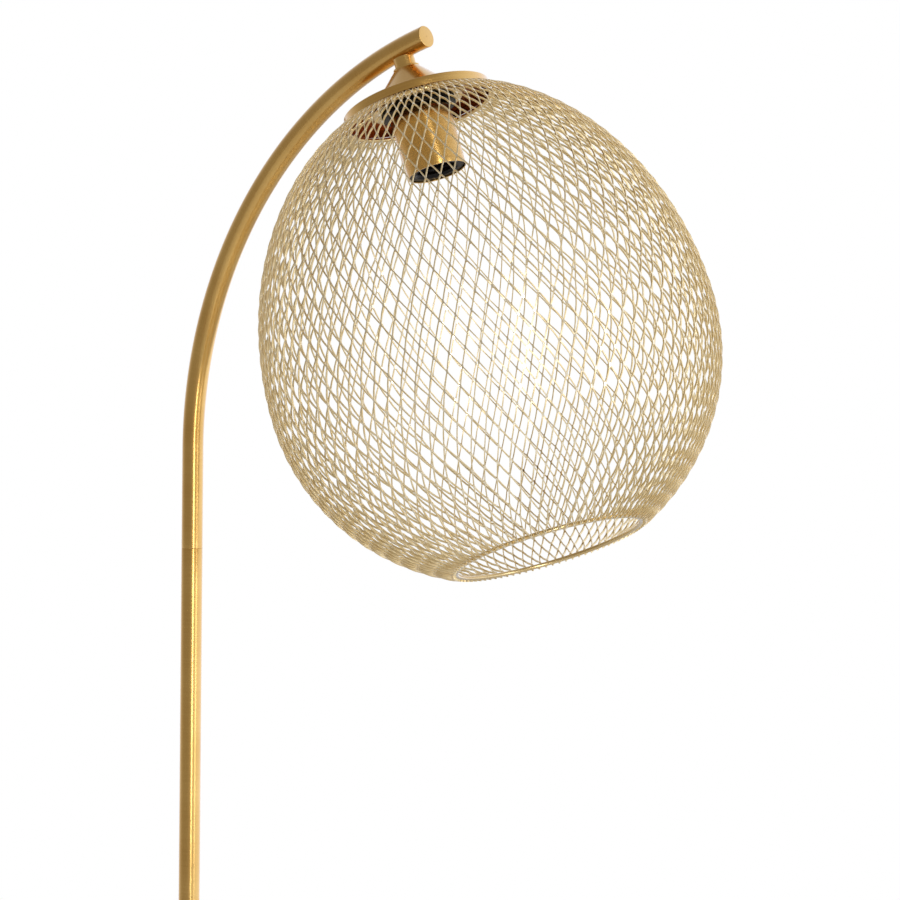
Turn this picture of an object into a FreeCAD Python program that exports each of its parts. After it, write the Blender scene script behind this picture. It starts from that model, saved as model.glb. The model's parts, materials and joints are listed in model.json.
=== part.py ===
import FreeCAD
import Part
import Sketcher

import math
import os
import re

# Arched floor lamp with an open mesh globe.  A weighted disc base carries three screwed pole
# sections and a bent arm; the arm's end carries a spun cap, a lampholder and the wire shade.
# Origin: centre of the underside of the base, on the pole's axis.  +Z up, the arm reaches to +X.
# Lengths are in mm and angles in degrees.

doc = FreeCAD.newDocument("FloorLamp")

# ---------------------------------------------------------------- driving dimensions

SIZES = {
    # pole and arm
    "tube_od": 15,            # outside diameter of every tube
    "tube_wall": 1.2,
    "tube_edge": 0.4,         # chamfer that leaves the hairline seam between two sections
    "section_length": 380,    # one straight pole section, as long as the carton allows
    "arm_straight": 70,       # straight run of the arm above its seam
    "bend_radius": 293,       # centreline radius of the arm
    "bend_angle": 72.8,       # turn of the arm from upright to its end
    "neck_setback": 22,       # centreline length from the arm's end back to the neck
    "end_plug": 4,            # depth of the end cap's plug in the tube
    "end_thick": 1.2,
    # threaded joints
    "thread_od": 10,          # M10 x 1 hollow rod used at every joint
    "thread_bore": 7,
    "insert_length": 14,      # bush welded in a tube's end
    "joint_length": 24,       # rod that joins two sections
    # base
    "base_od": 270,
    "base_round": 5,          # shoulder radius of the cover
    "cover_wall": 1.2,
    "weight_thick": 12,
    "pad_thick": 2,
    "skirt_lift": 1,          # cover's edge above the pad's underside
    "recess_od": 36,          # pocket under the weight for the nut
    "recess_deep": 8,
    "washer_od": 28,
    "washer_thick": 1.5,
    "nut_flats": 17,
    "nut_thick": 5,
    "collar_od": 26,          # turned collar at the foot of the pole
    "collar_tall": 8,
    "collar_web": 2.5,
    "inlet_od": 9,            # cable bush through the cover's skirt
    "inlet_bore": 6,
    "inlet_length": 9,
    "inlet_rim": 1.2,
    # neck and cap, measured along the shade's axis from the arm's centreline
    "neck_od": 14.4,
    "cap_drop": 13.6,         # arm centreline to the top of the cap
    "cap_top_od": 17.8,
    "cap_collar": 1.2,
    "cap_od": 100.4,
    "cap_tall": 30,
    "cap_rim": 5.8,
    "cap_dish": 1,            # fall of the flange from the cone to the rim
    "cap_cone_od": 60,        # where the cone's line meets the flange
    "cap_flare": 10,          # radius between the cone and the flange
    "cap_edge": 1.4,
    "cap_wall": 1,
    "cap_nut_flats": 14,
    "rod_reach": 5,           # length of the rod inside the neck
    # shade
    "globe_od": 300,
    "globe_upper": 188,       # widest circle to the crown of the upper half
    "globe_lower": 147,
    "shade_top_od": 105,
    "shade_bottom_od": 131,
    "mesh_columns": 36,       # diamonds round the globe
    "mesh_rows": 14,          # rows of strands from hoop to hoop
    "strand_width": 1.5,
    "strand_depth": 2,
    "top_wire": 3,            # wire diameter of the top ring
    "spoke_wire": 2.4,
    "spoke_count": 3,
    "spoke_turn": -39,        # direction of the first spoke round the shade's axis
    "spoke_lap": 1,           # overlap of a spoke's foot on the hub
    "bottom_wire": 4,
    "hub_od": 62,
    "hub_thick": 1.2,
    # lampholder
    "holder_thread_od": 40,   # threaded neck that the two clamp rings screw on
    "collar_lead": 9,         # neck's top edge above the rim of the cap
    "ring_lead": 7.2,         # upper clamp ring above the rim of the cap
    "upper_ring_od": 46.8,
    "upper_ring_thick": 3.6,
    "lower_ring_od": 50.8,
    "lower_ring_thick": 3.8,
    "cup_top_od": 41.8,
    "cup_mouth_od": 40,
    "cup_length": 43.1,
    "cup_wall": 0.8,
    "cup_round": 2.5,
    "holder_od": 37.4,
    "holder_boss_od": 16,
    "holder_boss": 10.7,
    "holder_disc": 8,
    "mouth_recess": 1,        # holder's face inside the mouth of the cup
    "mouth_chamfer": 1,
    "shell_bore": 26.4,       # screw shell for an E27 lamp
    "shell_wall": 0.4,
    "shell_length": 18.6,
    "shell_thread": 13.3,     # full-bore length from the mouth of the shell
    "shell_foot_od": 24.8,    # the shell's foot, drawn in below the full bore
    "plunger_head_od": 8,
    "plunger_head": 1.5,
    "plunger_gap": 3.8,       # height of the head above the holder's floor
    "plunger_stem_od": 4,
    "plunger_stop_od": 6,
    "plunger_stop": 0.8,
    "plunger_seat": 3.4,      # depth of its stop's seat under the holder's floor
    "spring_wire": 0.5,
    "spring_od": 6.3,
    "spring_turns": 3,
    "spring_sides": 8,        # flats round the wire
    "spring_steps": 16,       # straight pieces in one turn
    "terminal_circle": 25,
    "screw_od": 3,
    "screw_head_od": 5.2,
    "screw_head": 2.2,
    "screw_length": 5,
    # fits
    "fit": 0.05,              # radial gap of threads, plugs and the plunger
    "gap": 0.3,               # gap between pieces that only rest against each other
    "edge_ease": 0.6,         # rounding of the moulded rings' corners
}

sheet = doc.addObject("Spreadsheet::Sheet", "Sizes")
for row, (alias, size) in enumerate(SIZES.items(), start=1):
    sheet.set(f"A{row}", alias)
    sheet.set(f"B{row}", str(size))
    sheet.setAlias(f"B{row}", alias)
doc.recompute()

# ---------------------------------------------------------------- formulas

WORDS = {"cos", "sin", "tan", "sqrt", "pi"}


def bound(formula):
    """Write a formula of size names as an expression on the sheet."""
    return re.sub(r"[a-z]\w*", lambda m: m[0] if m[0] in WORDS else f"Sizes.{m[0]}", str(formula))


def number(formula):
    """Present value of a formula of size names."""
    value = sheet.evalExpression(bound(formula))
    return float(getattr(value, "Value", value))


# Levels of the upright pieces above the floor.
PAD_TOP = "pad_thick"
WEIGHT_TOP = f"({PAD_TOP} + weight_thick)"
COVER_TOP = f"({WEIGHT_TOP} + cover_wall)"
POLE_FOOT = f"({COVER_TOP} + collar_web)"
RECESS_TOP = f"({PAD_TOP} + recess_deep)"
INLET_Z = f"({PAD_TOP} + inlet_od / 2)"
SEAMS = [f"({POLE_FOOT} + {count} * section_length)" for count in (1, 2, 3)]
ARM_FOOT = SEAMS[-1]
BEND_START = f"({ARM_FOOT} + arm_straight)"

# The neck stands square on the arm's underside, and so sets the tilt of the shade's axis.
NECK_TURN = "(bend_angle - neck_setback / bend_radius * 180 / pi)"
NECK_X = f"(bend_radius * (1 - cos({NECK_TURN})))"
NECK_Z = f"({BEND_START} + bend_radius * sin({NECK_TURN}))"
SHADE_TURN = f"(90 + {NECK_TURN})"
END_X = "(bend_radius * (1 - cos(bend_angle)))"
END_Z = f"({BEND_START} + bend_radius * sin(bend_angle))"

# Levels along the shade's axis, from the arm's centreline down.
CAP_RIM = "(cap_drop + cap_tall)"
COLLAR_TOP = f"({CAP_RIM} - collar_lead)"
UPPER_RING_TOP = f"({CAP_RIM} - ring_lead)"
TOP_RING = f"({CAP_RIM} + gap + top_wire / 2)"
HUB_TOP = f"({UPPER_RING_TOP} + upper_ring_thick + gap)"
LOWER_RING_TOP = f"({HUB_TOP} + hub_thick + gap)"
CUP_TOP = f"({LOWER_RING_TOP} + lower_ring_thick)"
CUP_MOUTH = f"({CUP_TOP} + cup_length)"
BOSS_TOP = f"({CUP_TOP} + cup_wall)"
DISC_TOP = f"({BOSS_TOP} + holder_boss)"
HOLDER_FLOOR = f"({DISC_TOP} + holder_disc)"
HEAD_BACK = f"({HOLDER_FLOOR} + plunger_gap)"
TOP_HOOP = f"({TOP_RING} - strand_depth / 2)"
WIDEST = f"({TOP_HOOP} + globe_upper * sqrt(1 - (shade_top_od / globe_od) ^ 2))"
BOTTOM_RING = f"({WIDEST} + globe_lower * sqrt(1 - (shade_bottom_od / globe_od) ^ 2))"

# Radii that more than one piece uses.
TUBE_R = "(tube_od / 2)"
BORE_R = "(tube_od / 2 - tube_wall)"
ROD_R = "(thread_od / 2)"
ROD_HOLE_R = "(thread_od / 2 + fit)"
TOP_HOOP_R = "(shade_top_od / 2)"
TOP_RING_R = f"({TOP_HOOP_R} - strand_depth - top_wire / 2)"
BOTTOM_RING_R = "(shade_bottom_od / 2 - strand_depth - bottom_wire / 2)"

# ---------------------------------------------------------------- building helpers


def label(obj, name):
    """Name a finished sub-part; its label is also the name of its file."""
    obj.Label = name
    parts[name] = obj
    return obj


def place(obj, x="0", y="0", z="0", axis=(0, 1, 0), turn="0"):
    """Bind an object's place to formulas: a point and a turn about a fixed axis."""
    point = f"create(<<vector>>; {bound(x)}; {bound(y)}; {bound(z)})"
    around = f"create(<<vector>>; {axis[0]}; {axis[1]}; {axis[2]})"
    spin = f"create(<<rotation>>; {around}; {bound(turn)})"
    obj.setExpression("Placement", f"create(<<placement>>; {point}; {spin})")
    return obj


def place_on_shade_axis(obj, level="0"):
    """Turn an object's +Z down the shade's axis, its origin at a level from the arm's centreline."""
    x = f"({NECK_X} + {level} * sin({SHADE_TURN}))"
    z = f"({NECK_Z} + {level} * cos({SHADE_TURN}))"
    return place(obj, x=x, z=z, turn=SHADE_TURN)


def origin_plane(body, role):
    """Find one of a body's own base planes."""
    return next(item for item in body.Origin.OriginFeatures if item.Role == role)


def add_body(name):
    """Start a body; its tip becomes the finished sub-part."""
    return doc.addObject("PartDesign::Body", name)


def add_sketch(body, name, role):
    """Add a sketch on one of the body's base planes."""
    sketch = body.newObject("Sketcher::SketchObject", name)
    sketch.AttachmentSupport = (origin_plane(body, role), [""])
    sketch.MapMode = "FlatFace"
    return sketch


def drive(sketch, kind, *rest):
    """Add one dimension to a sketch and bind it to the formula given last."""
    formula = rest[-1]
    index = sketch.addConstraint(Sketcher.Constraint(kind, *rest[:-1], number(formula)))
    sketch.setExpression(f"Constraints[{index}]", bound(formula))


def bearing(centre, point):
    """Direction of a point seen from a centre, in radians."""
    return math.atan2(point.y - centre.y, point.x - centre.x)


def draw_outline(sketch, corners):
    """Draw a closed outline.

    Each corner is (across, up) or (across, up, radius), all formulas.  A corner with a radius is
    rounded, and its two positions then fix the point where the straight sides would meet.
    """
    points = [FreeCAD.Vector(number(c[0]), number(c[1]), 0) for c in corners]
    count = len(corners)
    radii = [number(c[2]) if len(c) > 2 else 0.0 for c in corners]
    leave = []
    arrive = []
    for i, point in enumerate(points):
        before = (points[i - 1] - point).normalize()
        after = (points[(i + 1) % count] - point).normalize()
        half = before.getAngle(after) / 2
        cut = radii[i] / math.tan(half) if radii[i] else 0.0
        arrive.append(point + before * cut)
        leave.append(point + after * cut)
    sides = [
        sketch.addGeometry(Part.LineSegment(leave[i], arrive[(i + 1) % count])) for i in range(count)
    ]
    for i, corner in enumerate(corners):
        into, out = sides[i - 1], sides[i]
        if radii[i]:
            before = (points[i - 1] - points[i]).normalize()
            after = (points[(i + 1) % count] - points[i]).normalize()
            half = before.getAngle(after) / 2
            centre = points[i] + (before + after).normalize() * (radii[i] / math.sin(half))
            turns_left = before.cross(after).z < 0
            first, second = (1, 2) if turns_left else (2, 1)
            low, high = (arrive[i], leave[i]) if turns_left else (leave[i], arrive[i])
            full = Part.Circle(centre, FreeCAD.Vector(0, 0, 1), radii[i])
            arc = sketch.addGeometry(Part.ArcOfCircle(full, bearing(centre, low), bearing(centre, high)))
            sketch.addConstraint(Sketcher.Constraint("Tangent", into, 2, arc, first))
            sketch.addConstraint(Sketcher.Constraint("Tangent", arc, second, out, 1))
            drive(sketch, "Radius", arc, corner[2])
            mark = sketch.addGeometry(Part.Point(points[i]), True)
            sketch.addConstraint(Sketcher.Constraint("PointOnObject", mark, 1, into))
            sketch.addConstraint(Sketcher.Constraint("PointOnObject", mark, 1, out))
            drive(sketch, "DistanceX", -1, 1, mark, 1, corner[0])
            drive(sketch, "DistanceY", -1, 1, mark, 1, corner[1])
        else:
            sketch.addConstraint(Sketcher.Constraint("Coincident", into, 2, out, 1))
            drive(sketch, "DistanceX", -1, 1, out, 1, corner[0])
            drive(sketch, "DistanceY", -1, 1, out, 1, corner[1])


def turned(name, corners):
    """Body turned about Z from an outline of (radius, height[, rounding]) corners."""
    body = add_body(name)
    sketch = add_sketch(body, f"{name}_outline", "XZ_Plane")
    draw_outline(sketch, corners)
    spin = body.newObject("PartDesign::Revolution", f"{name}_turned")
    spin.Profile = sketch
    spin.ReferenceAxis = (sketch, ["V_Axis"])
    spin.Angle = 360
    body.Tip = spin
    return body


def cylinder(name, radius, height):
    """Part cylinder whose radius and height follow formulas."""
    rod = doc.addObject("Part::Cylinder", name)
    rod.setExpression("Radius", bound(radius))
    rod.setExpression("Height", bound(height))
    return rod


def torus(name, ring_radius, wire_radius):
    """Part torus whose two radii follow formulas."""
    ring = doc.addObject("Part::Torus", name)
    ring.setExpression("Radius1", bound(ring_radius))
    ring.setExpression("Radius2", bound(wire_radius))
    return ring


def cut(name, base, tool):
    """Part cut of one object by another."""
    result = doc.addObject("Part::Cut", name)
    result.Base = base
    result.Tool = tool
    return result


def group(name, members):
    """Identical pieces kept together as separate solids of one sub-part."""
    result = doc.addObject("Part::Compound", name)
    result.Links = members
    return result


def hex_nut(name, flats, height):
    """Hexagon nut for the hollow rod, its corners broken by a cone on both ends."""
    prism = doc.addObject("Part::Prism", f"{name}_hexagon")
    prism.Polygon = 6
    prism.setExpression("Circumradius", bound(f"{flats} / 2 / cos(30)"))
    prism.setExpression("Height", bound(height))
    rim = f"({flats} / 2 / cos(30))"
    face = f"({flats} / 2 - gap)"
    slope = f"(({rim} - {face}) * tan(30))"
    blank = turned(
        f"{name}_blank",
        [
            (ROD_HOLE_R, "0"),
            (face, "0"),
            (rim, slope),
            (rim, f"({height} - {slope})"),
            (face, height),
            (ROD_HOLE_R, height),
        ],
    )
    nut = doc.addObject("Part::Common", name)
    nut.Base = prism
    nut.Tool = blank
    return nut


parts = {}

# ---------------------------------------------------------------- base


def make_base():
    """Weight, pad and cover of the base, with the hardware that holds the pole."""
    weight_r = "(base_od / 2 - cover_wall - gap)"
    ease = "(base_round - cover_wall + gap)"
    disc = turned(
        "weight_disc",
        [
            (ROD_HOLE_R, RECESS_TOP),
            ("recess_od / 2", RECESS_TOP),
            ("recess_od / 2", PAD_TOP),
            (weight_r, PAD_TOP),
            (weight_r, WEIGHT_TOP, ease),
            (ROD_HOLE_R, WEIGHT_TOP),
        ],
    )
    channel = doc.addObject("Part::Box", "lead_channel")
    channel.setExpression("Length", bound("base_od / 2"))
    channel.setExpression("Width", bound("inlet_bore"))
    channel.setExpression("Height", bound("recess_deep"))
    place(channel, x="0 - base_od / 2", y="0 - inlet_bore / 2", z=PAD_TOP)
    seat = cylinder("inlet_seat", "inlet_od / 2 + gap", "inlet_length")
    place(seat, x="0 - base_od / 2 - gap", z=INLET_Z, turn="90")
    carved = cut("weight_channelled", disc, channel)
    label(cut("weight", carved, seat), "base_weight")

    pad_r = f"({weight_r} - gap)"
    pad = turned(
        "pad",
        [
            ("0", "0"),
            (pad_r, "0"),
            (pad_r, PAD_TOP),
            ("0", PAD_TOP),
        ],
    )
    label(pad, "base_pad")

    top_r = "(base_od / 2)"
    shell = turned(
        "cover",
        [
            (ROD_HOLE_R, WEIGHT_TOP),
            (f"({top_r} - cover_wall)", WEIGHT_TOP, "base_round - cover_wall"),
            (f"({top_r} - cover_wall)", "skirt_lift"),
            (top_r, "skirt_lift"),
            (top_r, COVER_TOP, "base_round"),
            (ROD_HOLE_R, COVER_TOP),
        ],
    )
    hole = cylinder("inlet_hole", "inlet_od / 2 + fit", "inlet_length")
    place(hole, x="0 - base_od / 2 - gap", z=INLET_Z, turn="90")
    label(cut("cover_pierced", shell, hole), "base_cover")

    bush = turned(
        "bush",
        [
            ("inlet_bore / 2", "0"),
            ("inlet_od / 2 + inlet_rim", "0"),
            ("inlet_od / 2 + inlet_rim", "inlet_rim", "inlet_rim / 2"),
            ("inlet_od / 2", "inlet_rim"),
            ("inlet_od / 2", "inlet_length - gap"),
            ("inlet_bore / 2", "inlet_length - gap"),
        ],
    )
    place(bush, x="0 - base_od / 2 - inlet_rim", z=INLET_Z, turn="90")
    label(bush, "inlet_bush")

    washer = turned(
        "washer",
        [
            (ROD_HOLE_R, f"({RECESS_TOP} - washer_thick)"),
            ("washer_od / 2", f"({RECESS_TOP} - washer_thick)"),
            ("washer_od / 2", RECESS_TOP),
            (ROD_HOLE_R, RECESS_TOP),
        ],
    )
    label(washer, "base_washer")
    nut = hex_nut("nut", "nut_flats", "nut_thick")
    place(nut, z=f"({RECESS_TOP} - washer_thick - nut_thick)")
    label(nut, "base_nut")

    collar = turned(
        "collar",
        [
            (ROD_HOLE_R, COVER_TOP),
            ("collar_od / 2", COVER_TOP),
            ("collar_od / 2", f"({COVER_TOP} + collar_tall)", "collar_web"),
            (f"({TUBE_R} + fit)", f"({COVER_TOP} + collar_tall)"),
            (f"({TUBE_R} + fit)", POLE_FOOT),
            (ROD_HOLE_R, POLE_FOOT),
        ],
    )
    label(collar, "foot_collar")
    stud_foot = f"({RECESS_TOP} - washer_thick - nut_thick)"
    label(hollow_rod("stud", stud_foot, f"({POLE_FOOT} + joint_length / 2)"), "base_stud")


def hollow_rod(name, foot, top):
    """Upright length of the hollow threaded rod between two levels."""
    ease = "(tube_wall / 2)"
    return turned(
        name,
        [
            ("thread_bore / 2", foot),
            (f"({ROD_R} - {ease})", foot),
            (ROD_R, f"({foot} + {ease})"),
            (ROD_R, f"({top} - {ease})"),
            (f"({ROD_R} - {ease})", top),
            ("thread_bore / 2", top),
        ],
    )


# ---------------------------------------------------------------- pole


def tube_section(name, foot, top):
    """Straight tube whose ends are chamfered outside."""
    return turned(
        name,
        [
            (BORE_R, foot),
            (f"({TUBE_R} - tube_edge)", foot),
            (TUBE_R, f"({foot} + tube_edge)"),
            (TUBE_R, f"({top} - tube_edge)"),
            (f"({TUBE_R} - tube_edge)", top),
            (BORE_R, top),
        ],
    )


def make_pole():
    """Three straight sections, the bushes in the tube ends and the rods that join them."""
    levels = [POLE_FOOT] + SEAMS
    for index, name in enumerate(("pole_lower", "pole_middle", "pole_upper")):
        label(tube_section(f"section_{index + 1}", levels[index], levels[index + 1]), name)

    bushes = []
    for index, level in enumerate(levels):
        ends = [level] if index == 0 else [f"({level} - insert_length)", level]
        for side, foot in enumerate(ends):
            name = f"insert_{index}_{side}"
            ring = cylinder(f"{name}_blank", f"({BORE_R} - fit)", "insert_length")
            bore = cylinder(f"{name}_bore", ROD_HOLE_R, "insert_length")
            place(ring, z=foot)
            place(bore, z=foot)
            bushes.append(cut(name, ring, bore))
    label(group("inserts", bushes), "tube_inserts")

    rods = []
    for index, seam in enumerate(SEAMS):
        foot = f"({seam} - joint_length / 2)"
        top = f"({seam} + joint_length / 2)"
        rods.append(hollow_rod(f"rod_{index + 1}", foot, top))
    label(group("rods", rods), "joint_rods")


# ---------------------------------------------------------------- arm


def add_arm_pipe(body, name, radius, subtract):
    """Sweep a circle up the arm's straight run and round its bend."""
    profile = add_sketch(body, f"{name}_circle", "XY_Plane")
    round_tube = Part.Circle(FreeCAD.Vector(0, 0, 0), FreeCAD.Vector(0, 0, 1), number(radius))
    circle = profile.addGeometry(round_tube)
    profile.addConstraint(Sketcher.Constraint("Coincident", circle, 3, -1, 1))
    drive(profile, "Radius", circle, radius)
    place_on_seam(profile)
    path = add_sketch(body, f"{name}_path", "XZ_Plane")
    draw_arm_path(path)
    kind = "PartDesign::SubtractivePipe" if subtract else "PartDesign::AdditivePipe"
    pipe = body.newObject(kind, name)
    pipe.Profile = profile
    pipe.Spine = path
    body.Tip = pipe


def place_on_seam(sketch):
    """Lift a level sketch to the arm's foot."""
    sketch.setExpression("AttachmentOffset.Base.z", bound(ARM_FOOT))


def draw_arm_path(path):
    """Centreline of the arm: a straight run and one tangent arc."""
    foot = FreeCAD.Vector(0, number(ARM_FOOT), 0)
    start = FreeCAD.Vector(0, number(BEND_START), 0)
    radius = number("bend_radius")
    turn = math.radians(number("bend_angle"))
    centre = FreeCAD.Vector(radius, start.y, 0)
    run = path.addGeometry(Part.LineSegment(foot, start))
    full = Part.Circle(centre, FreeCAD.Vector(0, 0, 1), radius)
    bend = path.addGeometry(Part.ArcOfCircle(full, math.pi - turn, math.pi))
    path.addConstraint(Sketcher.Constraint("PointOnObject", run, 1, -2))
    path.addConstraint(Sketcher.Constraint("Vertical", run))
    path.addConstraint(Sketcher.Constraint("Tangent", run, 2, bend, 2))
    drive(path, "DistanceY", -1, 1, run, 1, ARM_FOOT)
    drive(path, "DistanceY", run, 1, run, 2, "arm_straight")
    drive(path, "Radius", bend, "bend_radius")
    drive(path, "DistanceX", -1, 1, bend, 1, END_X)


def make_arm():
    """Bent arm, its closed end and the stub that the shade hangs from."""
    bend = add_body("arm_bend")
    add_arm_pipe(bend, "arm_outside", TUBE_R, False)
    add_arm_pipe(bend, "arm_inside", BORE_R, True)
    lead_hole = cylinder("lead_hole", "thread_bore / 2", TUBE_R)
    place_on_shade_axis(lead_hole, f"({BORE_R} / 2)")
    label(cut("arm", bend, lead_hole), "arm_tube")

    plug = turned(
        "plug",
        [
            ("0", "0 - end_plug"),
            (f"({BORE_R} - fit)", "0 - end_plug"),
            (f"({BORE_R} - fit)", "0"),
            (TUBE_R, "0"),
            (TUBE_R, "end_thick", "tube_edge"),
            ("0", "end_thick"),
        ],
    )
    place(plug, x=END_X, z=END_Z, turn="bend_angle")
    label(plug, "arm_end_cap")

    stub = turned(
        "stub",
        [
            (ROD_HOLE_R, "0"),
            ("neck_od / 2", "0"),
            ("neck_od / 2", "cap_drop"),
            (ROD_HOLE_R, "cap_drop"),
        ],
    )
    place_on_shade_axis(stub)
    saddle = torus("saddle", "bend_radius", f"({TUBE_R} + fit)")
    place(saddle, x="bend_radius", z=BEND_START, axis=(1, 0, 0), turn="90")
    label(cut("neck_coped", stub, saddle), "neck")


# ---------------------------------------------------------------- cap


def make_cap():
    """Spun cap over the top of the shade, and the rod and nut that hold it."""
    cone_r = "(cap_cone_od / 2)"
    rim_top = f"({CAP_RIM} - cap_rim)"
    cone_foot = f"({rim_top} - cap_dish)"
    cone_top = "(cap_drop + cap_collar)"
    slope = f"(({cone_r} - cap_top_od / 2) / ({cone_foot} - {cone_top}))"
    across = f"(cap_wall * sqrt(1 + {slope} ^ 2))"
    inner_cone_r = f"({cone_r} + cap_wall * {slope} - {across})"
    inner_top_r = f"(cap_top_od / 2 - (cap_collar - cap_wall) * {slope} - {across})"
    cap = turned(
        "bell",
        [
            (ROD_HOLE_R, "cap_drop"),
            ("cap_top_od / 2", "cap_drop"),
            ("cap_top_od / 2", cone_top),
            (cone_r, cone_foot, "cap_flare"),
            ("cap_od / 2", rim_top, "cap_edge"),
            ("cap_od / 2", CAP_RIM),
            ("cap_od / 2 - cap_wall", CAP_RIM),
            ("cap_od / 2 - cap_wall", f"({rim_top} + cap_wall)", "cap_edge - cap_wall"),
            (inner_cone_r, f"({cone_foot} + cap_wall)", "cap_flare + cap_wall"),
            (inner_top_r, "cap_drop + cap_wall"),
            (ROD_HOLE_R, "cap_drop + cap_wall"),
        ],
    )
    place_on_shade_axis(cap)
    label(cap, "shade_cap")

    rod = hollow_rod("neck_rod", "(cap_drop - rod_reach)", f"({DISC_TOP} + fit)")
    place_on_shade_axis(rod)
    label(rod, "neck_rod")
    nut = hex_nut("lock", "cap_nut_flats", "nut_thick")
    place_on_shade_axis(nut, "(cap_drop + cap_collar + cap_wall + edge_ease)")
    label(nut, "cap_nut")


# ---------------------------------------------------------------- lampholder


def turned_on_axis(name, corners):
    """Turned piece of the shade's axis, kept under its own name."""
    return label(place_on_shade_axis(turned(f"{name}_turned", corners)), name)


def ring_on_axis(name, bore, outside, top, thick):
    """Flat ring round the shade's axis with its outer corners broken."""
    foot = f"({top} + {thick})"
    turned_on_axis(
        name,
        [
            (bore, top),
            (outside, top, "edge_ease"),
            (outside, foot, "edge_ease"),
            (bore, foot),
        ],
    )


def make_holder():
    """Lampholder in its cup, with the rings that clamp the shade's hub."""
    thread_r = "(holder_thread_od / 2)"
    turned_on_axis(
        "holder_neck",
        [
            (ROD_HOLE_R, COLLAR_TOP),
            (thread_r, COLLAR_TOP, "edge_ease"),
            (thread_r, CUP_TOP),
            (ROD_HOLE_R, CUP_TOP),
        ],
    )
    ring_bore = f"({thread_r} + fit)"
    ring_on_axis("clamp_ring_upper", ring_bore, "(upper_ring_od / 2)", UPPER_RING_TOP, "upper_ring_thick")
    ring_on_axis("clamp_ring_lower", ring_bore, "(lower_ring_od / 2)", LOWER_RING_TOP, "lower_ring_thick")

    inner_top = "(cup_top_od / 2 - cup_wall)"
    inner_mouth = "(cup_mouth_od / 2 - cup_wall)"
    turned_on_axis(
        "lamp_cup",
        [
            (ROD_HOLE_R, CUP_TOP),
            ("cup_top_od / 2", CUP_TOP, "cup_round"),
            ("cup_mouth_od / 2", CUP_MOUTH),
            (inner_mouth, CUP_MOUTH),
            (inner_top, BOSS_TOP, "cup_round - cup_wall"),
            (ROD_HOLE_R, BOSS_TOP),
        ],
    )

    stop_room = "(plunger_stop_od / 2 + gap)"
    stop_seat = f"({HOLDER_FLOOR} - plunger_seat)"
    guide_r = "(plunger_stem_od / 2 + fit)"
    base = turned(
        "insulator",
        [
            (ROD_HOLE_R, f"({BOSS_TOP} + fit)"),
            ("holder_boss_od / 2", f"({BOSS_TOP} + fit)"),
            ("holder_boss_od / 2", DISC_TOP),
            ("holder_od / 2", DISC_TOP),
            ("holder_od / 2", HOLDER_FLOOR),
            (guide_r, HOLDER_FLOOR),
            (guide_r, stop_seat),
            (stop_room, stop_seat),
            (stop_room, f"({DISC_TOP} + gap)"),
            (ROD_HOLE_R, f"({DISC_TOP} + gap)"),
        ],
    )
    tapped = [
        place(
            cylinder(f"terminal_hole_{side}", "(screw_od / 2 + fit)", "screw_length + gap"),
            x=f"({sign} * terminal_circle / 2)",
            z=DISC_TOP,
        )
        for side, sign in (("a", "1"), ("b", "-1"))
    ]
    drilled = cut("insulator_drilled", cut("insulator_half", base, tapped[0]), tapped[1])
    label(place_on_shade_axis(drilled), "holder_base")

    head_top = f"({DISC_TOP} - screw_head)"
    screws = [
        place(
            turned(
                f"screw_{side}",
                [
                    ("0", head_top),
                    ("screw_head_od / 2", head_top),
                    ("screw_head_od / 2", DISC_TOP),
                    ("screw_od / 2", DISC_TOP),
                    ("screw_od / 2", f"({DISC_TOP} + screw_length)"),
                    ("0", f"({DISC_TOP} + screw_length)"),
                ],
            ),
            x=f"({sign} * terminal_circle / 2)",
        )
        for side, sign in (("a", "1"), ("b", "-1"))
    ]
    label(place_on_shade_axis(group("screws", screws)), "terminal_screws")

    shell_out = "(shell_bore / 2 + shell_wall)"
    shell_room = f"({shell_out} + gap)"
    mouth = f"({CUP_MOUTH} - mouth_recess)"
    turned_on_axis(
        "holder_body",
        [
            (shell_room, HOLDER_FLOOR),
            ("holder_od / 2", HOLDER_FLOOR),
            ("holder_od / 2", mouth, "edge_ease"),
            (f"({shell_room} + mouth_chamfer)", mouth),
            (shell_room, f"({mouth} - mouth_chamfer)"),
        ],
    )
    shell_top = f"({HOLDER_FLOOR} + gap)"
    shell_mouth = f"({shell_top} + shell_length)"
    shell_neck = f"({shell_mouth} - shell_thread)"
    head_room = "(plunger_head_od / 2 + 2 * gap)"
    turned_on_axis(
        "screw_shell",
        [
            (head_room, shell_top),
            ("shell_foot_od / 2", shell_top),
            (shell_out, shell_neck),
            (shell_out, shell_mouth),
            ("shell_bore / 2", shell_mouth),
            ("shell_bore / 2", shell_neck),
            ("(shell_foot_od / 2 - shell_wall)", f"({shell_top} + shell_wall)"),
            (head_room, f"({shell_top} + shell_wall)"),
        ],
    )

    stop_foot = f"({stop_seat} - gap)"
    turned_on_axis(
        "centre_contact",
        [
            ("0", f"({stop_foot} - plunger_stop)"),
            ("plunger_stop_od / 2", f"({stop_foot} - plunger_stop)"),
            ("plunger_stop_od / 2", stop_foot),
            ("plunger_stem_od / 2", stop_foot),
            ("plunger_stem_od / 2", HEAD_BACK),
            ("plunger_head_od / 2", HEAD_BACK),
            ("plunger_head_od / 2", f"({HEAD_BACK} + plunger_head)", "plunger_head / 2"),
            ("0", f"({HEAD_BACK} + plunger_head)"),
        ],
    )

    spring = doc.addObject("Part::Feature", "spring")
    spring.Shape = coil()
    place_on_shade_axis(spring, f"({HOLDER_FLOOR} + gap + spring_wire / 2)")
    label(spring, "contact_spring")


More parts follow.
